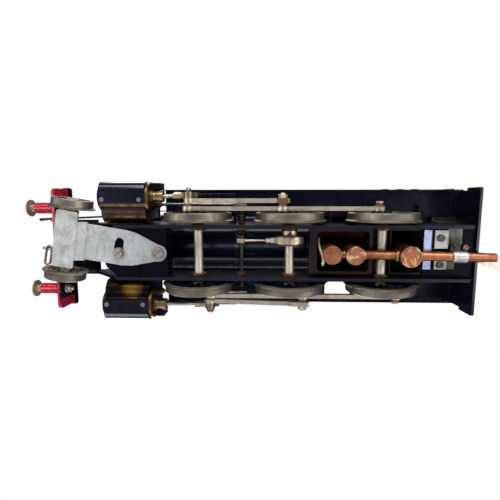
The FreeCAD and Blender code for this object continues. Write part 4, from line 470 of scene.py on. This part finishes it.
def burner_copper():
    """Heat-stained copper; brass-coloured solder has run over the feet of the rear pots."""
    s = Shader("burner_copper")
    low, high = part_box("burner")
    tarnish = s.between(s.noise(110.0, 5.0, 0.62), 0.4, 0.68)
    colour = s.blend(tarnish, srgb(172, 112, 80), srgb(128, 80, 57))
    heat = s.between(s.noise(150.0, 5.0, 0.7, distortion=0.8), 0.50, 0.66)
    colour = s.blend(s.math("MULTIPLY", heat, 0.4), colour, srgb(88, 52, 38))
    foot = s.zone(2, low.z - MM, low.z + 2.2 * MM, 0.5 * MM)
    rear_pots = s.zone(0, -90 * MM, -33 * MM)
    islands = s.noise(150.0, 2.0, 0.5, distortion=1.6)
    wide = s.math("ADD", islands, s.math("MULTIPLY", s.zone(0, -90 * MM, -60 * MM), 0.045))
    spread = s.between(wide, 0.535, 0.575)
    solder = s.math("MULTIPLY", s.math("MULTIPLY", foot, spread), rear_pots, clamp=True)
    colour = s.blend(solder, colour, s.blend(tarnish, srgb(206, 172, 120), srgb(160, 122, 78)))
    soot = s.between(s.crevices(2.5 * MM), 0.15, 0.8, 0.7, 0.0)
    upper = s.zone(2, low.z + 9 * MM, high.z + MM, 6 * MM)
    colour = s.blend(s.math("MAXIMUM", soot, s.math("MULTIPLY", upper, 0.35)), colour, srgb(52, 31, 24))
    marks = s.noise(3.0, 4.0, 0.7, s.stretched((120.0, 500.0, 500.0)))
    normal = s.bump(solder, 0.10 * MM, 0.8, s.bump(marks, 0.005 * MM))
    s.set(Base_Color=colour, Metallic=1.0, Normal=normal)
    s.set(Roughness=s.math("ADD", 0.40, s.math("MULTIPLY", tarnish, 0.14)))
    return s.material


def wheel_metal(name, centre):
    return metal(
        name, srgb(138, 132, 118), srgb(98, 92, 82), 0.42, turned=(centre, 1),
        stain=srgb(58, 50, 42), stain_share=0.4, grooves=0.03, scratches=False,
    )


FINISHES = {
    "axle_bushes": BRONZE,
    "backhead": DUSTY_BLACK,
    "boiler_bands": BAND_BLACK,
    "boiler_barrel": BOILER_BLACK,
    "buffer_beam": RED,
    "buffer_stocks": RED,
    "burner": burner_copper(),
    "burner_housing": SCORCHED,
    "cab": DUSTY_BLACK,
    "cab_roof": DUSTY_BLACK,
    "chimney": BLACK,
    "connecting_rod_left": rod_metal("connecting_rod_left", big_end("connecting_rod_left")),
    "connecting_rod_right": rod_metal("connecting_rod_right"),
    "coupling_hook": STEEL,
    "coupling_link": LINK_STEEL,
    "coupling_rod_left": rod_metal("coupling_rod_left"),
    "coupling_rod_right": rod_metal("coupling_rod_right"),
    "crosshead_left": crosshead_metal("left"),
    "crosshead_right": crosshead_metal("right"),
    "cylinder_blocks": casting_metal(),
    "cylinder_covers": cover_metal(),
    "cylinder_wrappers": WRAPPER_BLACK,
    "drag_beam": DUSTY_BLACK,
    "drawbar": DRAWBAR_METAL,
    "eccentric": eccentric_metal(),
    "eccentric_strap": rod_metal("eccentric_strap"),
    "firebox_wrapper": BLACK,
    "frame_stretchers": PLATE_BLACK,
    "front_platform": PLATE_BLACK,
    "gauge_glass": GLASS,
    "gland_nuts": BRASS,
    "handrails": BRIGHT_STEEL,
    "inner_boiler": SOOTED,
    "pony_plate": ZINC,
    "rear_blocks": rear_plate_metal(),
    "regulator_handle": STEEL,
    "rocker_shaft": SHADOWED_STEEL,
    "running_boards": DUSTY_BLACK,
    "safety_valves": BRASS,
    "screws": SCREWS,
    "side_frames": FRAME_BLACK,
    "slide_bars": DUSTY_BLACK,
    "smokebox": BLACK,
    "smokebox_door": BLACK,
    "steam_dome": BLACK,
    "valve_spindles": STEEL,
    "wheels_driving": DUSTY_BLACK,
    "wheels_front": DUSTY_BLACK,
    "wheels_rear": DUSTY_BLACK,
    "wicks": WICK,
    "brake_hose": RUBBER,
}
for end, centre in WHEEL_CENTRES.items():
    FINISHES["tyres_" + end] = wheel_metal("turned_tread_" + end, centre)
    FINISHES["axle_" + end] = axle_metal(end)
FINISHES["pony_wheelset"] = wheel_metal("turned_tread_pony", middle("pony_wheelset"))
for side in ("left", "right"):
    node = "buffer_" + side
    FINISHES[node] = metal(
        "buffer_metal_" + side, srgb(196, 186, 168), srgb(148, 138, 122), 0.48, turned=(middle(node), 0),
        stain=srgb(96, 80, 60), stain_share=0.25, fine=600.0, scratches=False,
    )

# Rounding of sharp edges, in millimetres. Pieces that aren't named have EDGE_ROUND.
EDGE_ROUND = 0.12
ROUNDING = {"gauge_glass": 0.0, "wicks": 0.0, "brake_hose": 0.0, "coupling_link": 0.0}


def soften(piece, width):
    """Rounds a CAD node's sharp edges and evens out its shading, without touching its mesh."""
    weld = piece.modifiers.new("weld", "WELD")
    weld.merge_threshold = 0.002 * MM
    flats = piece.modifiers.new("flats", "DECIMATE")
    flats.decimate_type = "DISSOLVE"
    flats.angle_limit = math.radians(0.5)
    if width:
        bevel = piece.modifiers.new("edges", "BEVEL")
        bevel.width = width * MM
        bevel.segments = 2
        bevel.limit_method = "ANGLE"
        bevel.angle_limit = math.radians(40)
        bevel.miter_outer = "MITER_ARC"
    even = piece.modifiers.new("shading", "WEIGHTED_NORMAL")
    even.keep_sharp = False


def dress_cad_nodes():
    for name, node in NODES.items():
        material = FINISHES[name]
        node.data.materials.clear()
        node.data.materials.append(material)
        soften(node, ROUNDING.get(name, EDGE_ROUND))


# ---- pieces built here ---------------------------------------------------------------------------------
def new_piece(name, build, material, replaced=()):
    """A smooth-shaded mesh that rides the chassis; build(bm) fills it."""
    bm = bmesh.new()
    build(bm)
    bmesh.ops.recalc_face_normals(bm, faces=bm.faces)
    mesh = bpy.data.meshes.new(name)
    bm.to_mesh(mesh)
    bm.free()
    mesh.materials.append(material)
    mesh.shade_smooth()
    piece = bpy.data.objects.new(name, mesh)
    bpy.context.scene.collection.objects.link(piece)
    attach(piece, "chassis")
    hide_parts(*replaced)
    return piece


def add_tube(bm, path, radii, sides=12, squash=None):
    """A closed tube along a path of points in millimetres, with its own radius at each point."""
    rings = []
    side = None
    for i, point in enumerate(path):
        ahead = path[min(i + 1, len(path) - 1)] - path[max(i - 1, 0)]
        ahead.normalize()
        if side is None:
            side = ahead.orthogonal().normalized()
        side = (side - ahead * side.dot(ahead)).normalized()
        up = ahead.cross(side)
        ring = []
        for k in range(sides):
            turn = 2 * math.pi * k / sides
            reach = radii[i] * (squash(i, k) if squash else 1.0)
            ring.append(bm.verts.new((point + (side * math.cos(turn) + up * math.sin(turn)) * reach) * MM))
        rings.append(ring)
    for a, b in zip(rings, rings[1:]):
        for k in range(sides):
            n = (k + 1) % sides
            bm.faces.new((a[k], a[n], b[n], b[k]))
    bm.faces.new(rings[0])
    bm.faces.new(rings[-1])


def straight(start, end, count):
    return [start.lerp(end, i / (count - 1)) for i in range(count)]


# The hose, in millimetres; its heights are above the lowest point of the CAD's hose.
HOSE_R = 0.82
HOSE_BEND_R = 4.2
HOSE_BEND_Z = 16.6
HOSE_FOOT_Z = 5.5
HOSE_END_Z = 3.6
RIB_PITCH = 0.62
RIB_HEIGHT = 0.13
# Profiles as (distance along the pipe, radius).
STANDPIPE = (
    (0.0, 1.02), (0.2, 1.3), (3.6, 1.3), (3.8, 1.12), (4.6, 1.12), (4.8, 1.3), (6.0, 1.3), (6.2, 1.0),
)
COUPLER = (
    (0.0, 0.8), (0.2, 1.1), (1.0, 1.1), (1.2, 0.92), (2.4, 0.92), (2.6, 1.1), (3.9, 1.1), (4.1, 0.9),
)
ELBOW = ((0.02, 1.3), (0.6, 1.3), (0.8, 1.05))


def build_hose(bm):
    """The ribbed hose, its two clamps, the standpipe and the coupling at its free end."""
    low, high = (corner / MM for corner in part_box("brake_hose"))
    y = (low.y + high.y) / 2
    end_x = high.x - 1.1
    pipe_x = end_x - 2 * HOSE_BEND_R
    bend_z = low.z + HOSE_BEND_Z
    path = straight(Vector((pipe_x, y, low.z + HOSE_FOOT_Z)), Vector((pipe_x, y, bend_z)), 72)
    for i in range(1, 90):
        turn = math.pi * i / 90
        x = pipe_x + HOSE_BEND_R * (1 - math.cos(turn))
        path.append(Vector((x, y, bend_z + HOSE_BEND_R * math.sin(turn))))
    path += straight(Vector((end_x, y, bend_z)), Vector((end_x, y, low.z + HOSE_END_Z)), 84)
    run = 0.0
    radii = [HOSE_R]
    for a, b in zip(path, path[1:]):
        run += (b - a).length
        radii.append(HOSE_R + RIB_HEIGHT * (0.5 - 0.5 * math.cos(2 * math.pi * run / RIB_PITCH)))
    add_tube(bm, path, radii, 16)
    add_tube(bm, [Vector((pipe_x, y, low.z + up)) for up, _ in STANDPIPE], [r for _, r in STANDPIPE], 18)
    elbow = (*ELBOW, (pipe_x - low.x, 1.0))
    add_tube(bm, [Vector((low.x + out, y, low.z + 2.0)) for out, _ in elbow], [r for _, r in elbow], 16)
    coupler_z = low.z + 0.6
    add_tube(bm, [Vector((end_x, y, coupler_z + up)) for up, _ in COUPLER], [r for _, r in COUPLER], 18)


# The wick pots in the frame's millimetres: centre X, and the radius a wick may fill.
FRONT_POT = Vector((-26.0, -0.35, 0.0))
POT_WICKS = ((FRONT_POT.x, 4.8), (-40.3, 4.8), (-74.4, 5.5))
BURNER_SKEW = math.radians(1.03)
YARN_R = 0.62
YARN_FOOT_Z = 20.0


def pot_centre(x):
    """A point on the burner's centre line, which stands slightly skewed."""
    along = x - FRONT_POT.x
    return FRONT_POT + Vector((along * math.cos(BURNER_SKEW), along * math.sin(BURNER_SKEW), 0.0))


def build_wicks(bm):
    """Bundles of yarn: rings of twisted strands with frayed, uneven tops."""
    draw = random.Random(5)
    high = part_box("wicks")[1] / MM
    for x, reach in POT_WICKS:
        centre = pot_centre(x)
        places = [(0.0, 0.0)]
        for ring in range(1, 5):
            radius = ring * YARN_R * 1.9
            if radius + YARN_R > reach:
                break
            count = int(2 * math.pi * radius / (YARN_R * 2.05))
            turns = [2 * math.pi * (k + 0.3 * ring) / count for k in range(count)]
            places += [(radius * math.cos(t), radius * math.sin(t)) for t in turns]
        for dx, dy in places:
            top = high.z - 2.6 + draw.uniform(-1.2, 1.6) - 0.14 * (dx * dx + dy * dy) ** 0.5
            lean = (dx * 0.05 + draw.uniform(-0.2, 0.2), dy * 0.05 + draw.uniform(-0.2, 0.2))
            count = 22
            path = []
            for i in range(count):
                share = i / (count - 1)
                flare = max(0.0, share - 0.75) * 4
                path.append(Vector((
                    centre.x + dx + lean[0] * flare, centre.y + dy + lean[1] * flare,
                    YARN_FOOT_Z + (top - YARN_FOOT_Z) * share,
                )))
            radii = [YARN_R] * (count - 3) + [YARN_R * 0.94, YARN_R * 0.8, YARN_R * 0.45]
            twist = draw.uniform(0, 6)

            def plies(i, k, start=twist):
                return 1.0 + 0.10 * math.cos(3 * (k * 0.7 - i * 0.9 + start))

            add_tube(bm, path, radii, 9, plies)


# The loose strand, in millimetres: X from its line in front of the front pot, then the frame's Y and Z.
STRAND_PATH = (
    (0.2, 8.2, 29.0), (0.7, 6.0, 25.0), (1.1, 2.6, 18.0), (0.5, -0.6, 12.5), (0.1, -3.6, 10.2),
    (0.3, -6.2, 9.6),
)
PLY_R = 0.38
PLY_OFFSET = 0.30
FRAY_FROM, FRAY_LENGTH = 0.86, 0.14


def smooth_path(points, count):
    """A curve through the points, as evenly spaced points."""
    dense = []
    for i in range(len(points) - 1):
        before = points[max(i - 1, 0)]
        after = points[min(i + 2, len(points) - 1)]
        for k in range(24):
            t = k / 24
            a, b = points[i], points[i + 1]
            dense.append(0.5 * (
                2 * a + (b - before) * t + (2 * before - 5 * a + 4 * b - after) * t * t
                + (3 * a - before - 3 * b + after) * t ** 3
            ))
    dense.append(points[-1])
    lengths = [0.0]
    for a, b in zip(dense, dense[1:]):
        lengths.append(lengths[-1] + (b - a).length)
    even = []
    j = 0
    for i in range(count):
        want = lengths[-1] * i / (count - 1)
        while j < len(lengths) - 2 and lengths[j + 1] < want:
            j += 1
        step = lengths[j + 1] - lengths[j] or 1.0
        even.append(dense[j].lerp(dense[j + 1], (want - lengths[j]) / step))
    return even


def build_strand(bm):
    """One loose length of two-ply yarn over the front pot, its end teased out."""
    draw = random.Random(11)
    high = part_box("wicks")[1] / MM
    start_x = high.x - 1.75
    spine = smooth_path([Vector((start_x + x, y, z)) for x, y, z in STRAND_PATH], 150)
    for ply in range(2):
        path, radii = [], []
        for i, point in enumerate(spine):
            ahead = (spine[min(i + 1, len(spine) - 1)] - spine[max(i - 1, 0)]).normalized()
            side = ahead.cross(Vector((1, 0, 0))).normalized()
            up = side.cross(ahead)
            turn = i * 0.42 + ply * math.pi
            fray = max(0.0, i / (len(spine) - 1) - FRAY_FROM) / FRAY_LENGTH
            spread = PLY_OFFSET * (1.0 + 0.9 * fray)
            path.append(point + (side * math.cos(turn) + up * math.sin(turn)) * spread)
            radii.append(PLY_R * (1.0 + 0.35 * fray) * (0.94 + 0.12 * draw.random()))
        radii[-1] *= 0.5
        add_tube(bm, path, radii, 10)
    end = spine[-1]
    for _ in range(7):
        tip = end + Vector((draw.uniform(-0.5, 0.5), draw.uniform(-1.4, -0.4), draw.uniform(-0.7, 0.5)))
        root = end + Vector((0.0, 0.5, 0.05))
        bend = (root + tip) / 2 + Vector((draw.uniform(-0.2, 0.2), 0, draw.uniform(-0.2, 0.2)))
        add_tube(bm, smooth_path([root, bend, tip], 9), [0.12] * 8 + [0.05], 6)


# Where solder was run round the burner's tube at the pots: X on the tube, tube radius, bead radius.
SOLDER_BEADS = (
    (-81.6, 3.3, 0.5), (-67.2, 3.3, 0.5), (-46.75, 3.3, 0.48), (-34.15, 2.1, 0.4), (-32.15, 2.1, 0.4),
)
BURNER_TUBE_Z = 5.9  # the tube's axis above the burner's lowest point


def build_solder(bm):
    """A lumpy bead of solder round the tube at each socket."""
    draw = random.Random(3)
    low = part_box("burner")[0] / MM
    axis_z = low.z + BURNER_TUBE_Z
    for x, ring_r, bead_r in SOLDER_BEADS:
        centre = pot_centre(x)
        waves = [(draw.uniform(0.10, 0.24), draw.uniform(0, 6.28), n) for n in (2, 3, 5, 7)]
        rows, sides = 48, 10
        rings = []
        for i in range(rows):
            turn = 2 * math.pi * i / rows
            swell = 1.0 + sum(a * math.sin(n * turn + p) for a, p, n in waves)
            shift = sum(a * math.cos(n * turn + 2 * p) for a, p, n in waves) * 0.6
            ring = []
            for k in range(sides):
                around = 2 * math.pi * k / sides
                out = ring_r + bead_r * swell * math.cos(around) * 0.8
                along = shift + bead_r * 1.35 * swell * math.sin(around)
                ring.append(bm.verts.new(Vector((
                    centre.x + along, centre.y + out * math.cos(turn), axis_z + out * math.sin(turn),
                )) * MM))
            rings.append(ring)
        for i in range(rows):
            a, b = rings[i], rings[(i + 1) % rows]
            for k in range(sides):
                n = (k + 1) % sides
                bm.faces.new((a[k], a[n], b[n], b[k]))


def make_pieces():
    new_piece("brake_hose_ribbed", build_hose, RUBBER, ["brake_hose"])
    new_piece("wick_bundles", build_wicks, WICK, ["wicks"])
    new_piece("wick_stray_strand", build_strand, WICK, ["wicks"])
    new_piece("solder_beads", build_solder, SOLDER)


# ---- stage ---------------------------------------------------------------------------------------------
FLOOR_SIDE = 6.0
FLOOR_GAP = 0.2 * MM
WARM, COOL, BLUISH = (1.0, 0.96, 0.90), (0.90, 0.95, 1.0), (0.75, 0.80, 1.0)
# Name, place and size in metres, energy, colour. All of them point at LIT_POINT.
LIT_POINT = (0.02, 0.0, 0.03)
LAMPS = (
    ("under_left", (-0.10, 0.55, -0.40), (0.9, 0.30), 5.6, WARM),
    ("under_right", (0.05, -0.60, -0.30), (0.9, 0.40), 3.8, WARM),
    ("under_rear", (-0.60, -0.05, -0.40), (0.3, 0.5), 2.0, WARM),
    ("under_front", (0.62, 0.05, -0.35), (0.3, 0.5), 1.8, WARM),
    ("strip_left", (0.05, 0.42, -0.12), (1.0, 0.04), 1.5, COOL),
    ("strip_below", (0.02, -0.05, -0.34), (0.9, 0.06), 0.55, BLUISH),
    ("over_left", (0.1, 0.7, 0.7), (0.8, 0.5), 8.0, WARM),
    ("over_right", (0.2, -0.8, 0.6), (0.9, 0.5), 8.0, COOL),
)


def camera_above(tree):
    """A socket that is 1 when the picture is taken from above the floor, 0 from below it."""
    place = tree.nodes.new("ShaderNodeVectorTransform")
    place.vector_type = "POINT"
    place.convert_from, place.convert_to = "CAMERA", "WORLD"
    place.inputs[0].default_value = (0.0, 0.0, 0.0)
    parts = tree.nodes.new("ShaderNodeSeparateXYZ")
    above = tree.nodes.new("ShaderNodeMath")
    above.operation = "GREATER_THAN"
    above.inputs[1].default_value = cad_low.z
    tree.links.new(place.outputs[0], parts.inputs[0])
    tree.links.new(parts.outputs[2], above.inputs[0])
    return above.outputs[0]


def make_world():
    """White behind the object. Seen from below it reflects a dim bluish room; from above, a pale one."""
    world = bpy.data.worlds.new("studio")
    bpy.context.scene.world = world
    world.use_nodes = True
    tree = world.node_tree
    tree.nodes.clear()

    def background(colour, strength):
        made = tree.nodes.new("ShaderNodeBackground")
        made.inputs["Color"].default_value = (*colour, 1.0)
        made.inputs["Strength"].default_value = strength
        return made.outputs[0]

    def mixed(share, a, b):
        made = tree.nodes.new("ShaderNodeMixShader")
        for socket, value in zip(made.inputs, (share, a, b)):
            tree.links.new(value, socket)
        return made.outputs[0]

    dim, pale = background((0.30, 0.38, 1.0), 0.12), background((0.95, 0.97, 1.0), 0.55)
    rooms = mixed(camera_above(tree), dim, pale)
    path = tree.nodes.new("ShaderNodeLightPath")
    seen = mixed(path.outputs["Is Camera Ray"], rooms, background((1.0, 1.0, 1.0), 1.0))
    out = tree.nodes.new("ShaderNodeOutputWorld")
    tree.links.new(seen, out.inputs["Surface"])


def make_floor():
    """A pale floor under the wheels. It is there for views from above; a camera below looks past it."""
    mesh = bpy.data.meshes.new("floor")
    half = FLOOR_SIDE / 2
    corners = [(-half, -half, 0), (half, -half, 0), (half, half, 0), (-half, half, 0)]
    mesh.from_pydata(corners, [], [(0, 1, 2, 3)])
    floor = bpy.data.objects.new("floor", mesh)
    bpy.context.scene.collection.objects.link(floor)
    floor.location.z = cad_low.z - FLOOR_GAP
    s = Shader("floor_paper")
    s.set(Base_Color=srgb(236, 235, 232), Roughness=0.9)
    clear = s.node("ShaderNodeBsdfTransparent").outputs[0]
    mix = s.node("ShaderNodeMixShader", {0: camera_above(s.tree), 1: clear, 2: s.surface.outputs[0]})
    out = next(n for n in s.tree.nodes if n.type == "OUTPUT_MATERIAL")
    s.tree.links.new(mix.outputs[0], out.inputs["Surface"])
    mesh.materials.append(s.material)


def soft_light(name, place, size, energy, colour):
    light = bpy.data.lights.new(name, "AREA")
    light.shape = "RECTANGLE"
    light.size, light.size_y = size
    light.energy = energy
    light.color = colour
    lamp = bpy.data.objects.new(name, light)
    lamp.location = place
    lamp.rotation_mode = "QUATERNION"
    lamp.rotation_quaternion = (Vector(LIT_POINT) - Vector(place)).to_track_quat("-Z", "Y")
    bpy.context.scene.collection.objects.link(lamp)


# The camera looks up at the underside from 22 cm below the rails.
CAMERA_PLACE = Vector((17.33, 33.50, -224.74)) * MM
CAMERA_LOOK = Vector((0.0342, -0.1302, 0.9909))
CAMERA_UP = Vector((0.0043, 0.9915, 0.1302))
CAMERA_LENS = 27.14


def make_camera():
    data = bpy.data.cameras.new("camera")
    data.lens = CAMERA_LENS
    data.clip_start = 5 * MM
    data.clip_end = 10.0
    camera = bpy.data.objects.new("camera", data)
    back = -CAMERA_LOOK.normalized()
    right = CAMERA_UP.cross(back).normalized()
    up = back.cross(right)
    turn = Matrix((right, up, back)).transposed()
    camera.matrix_world = Matrix.Translation(CAMERA_PLACE) @ turn.to_4x4()
    bpy.context.scene.collection.objects.link(camera)
    bpy.context.scene.camera = camera
    bpy.context.scene.view_settings.view_transform = "Standard"


dress_cad_nodes()
make_pieces()
make_world()
make_floor()
for lamp_facts in LAMPS:
    soft_light(*lamp_facts)
make_camera()

bpy.context.view_layer.update()
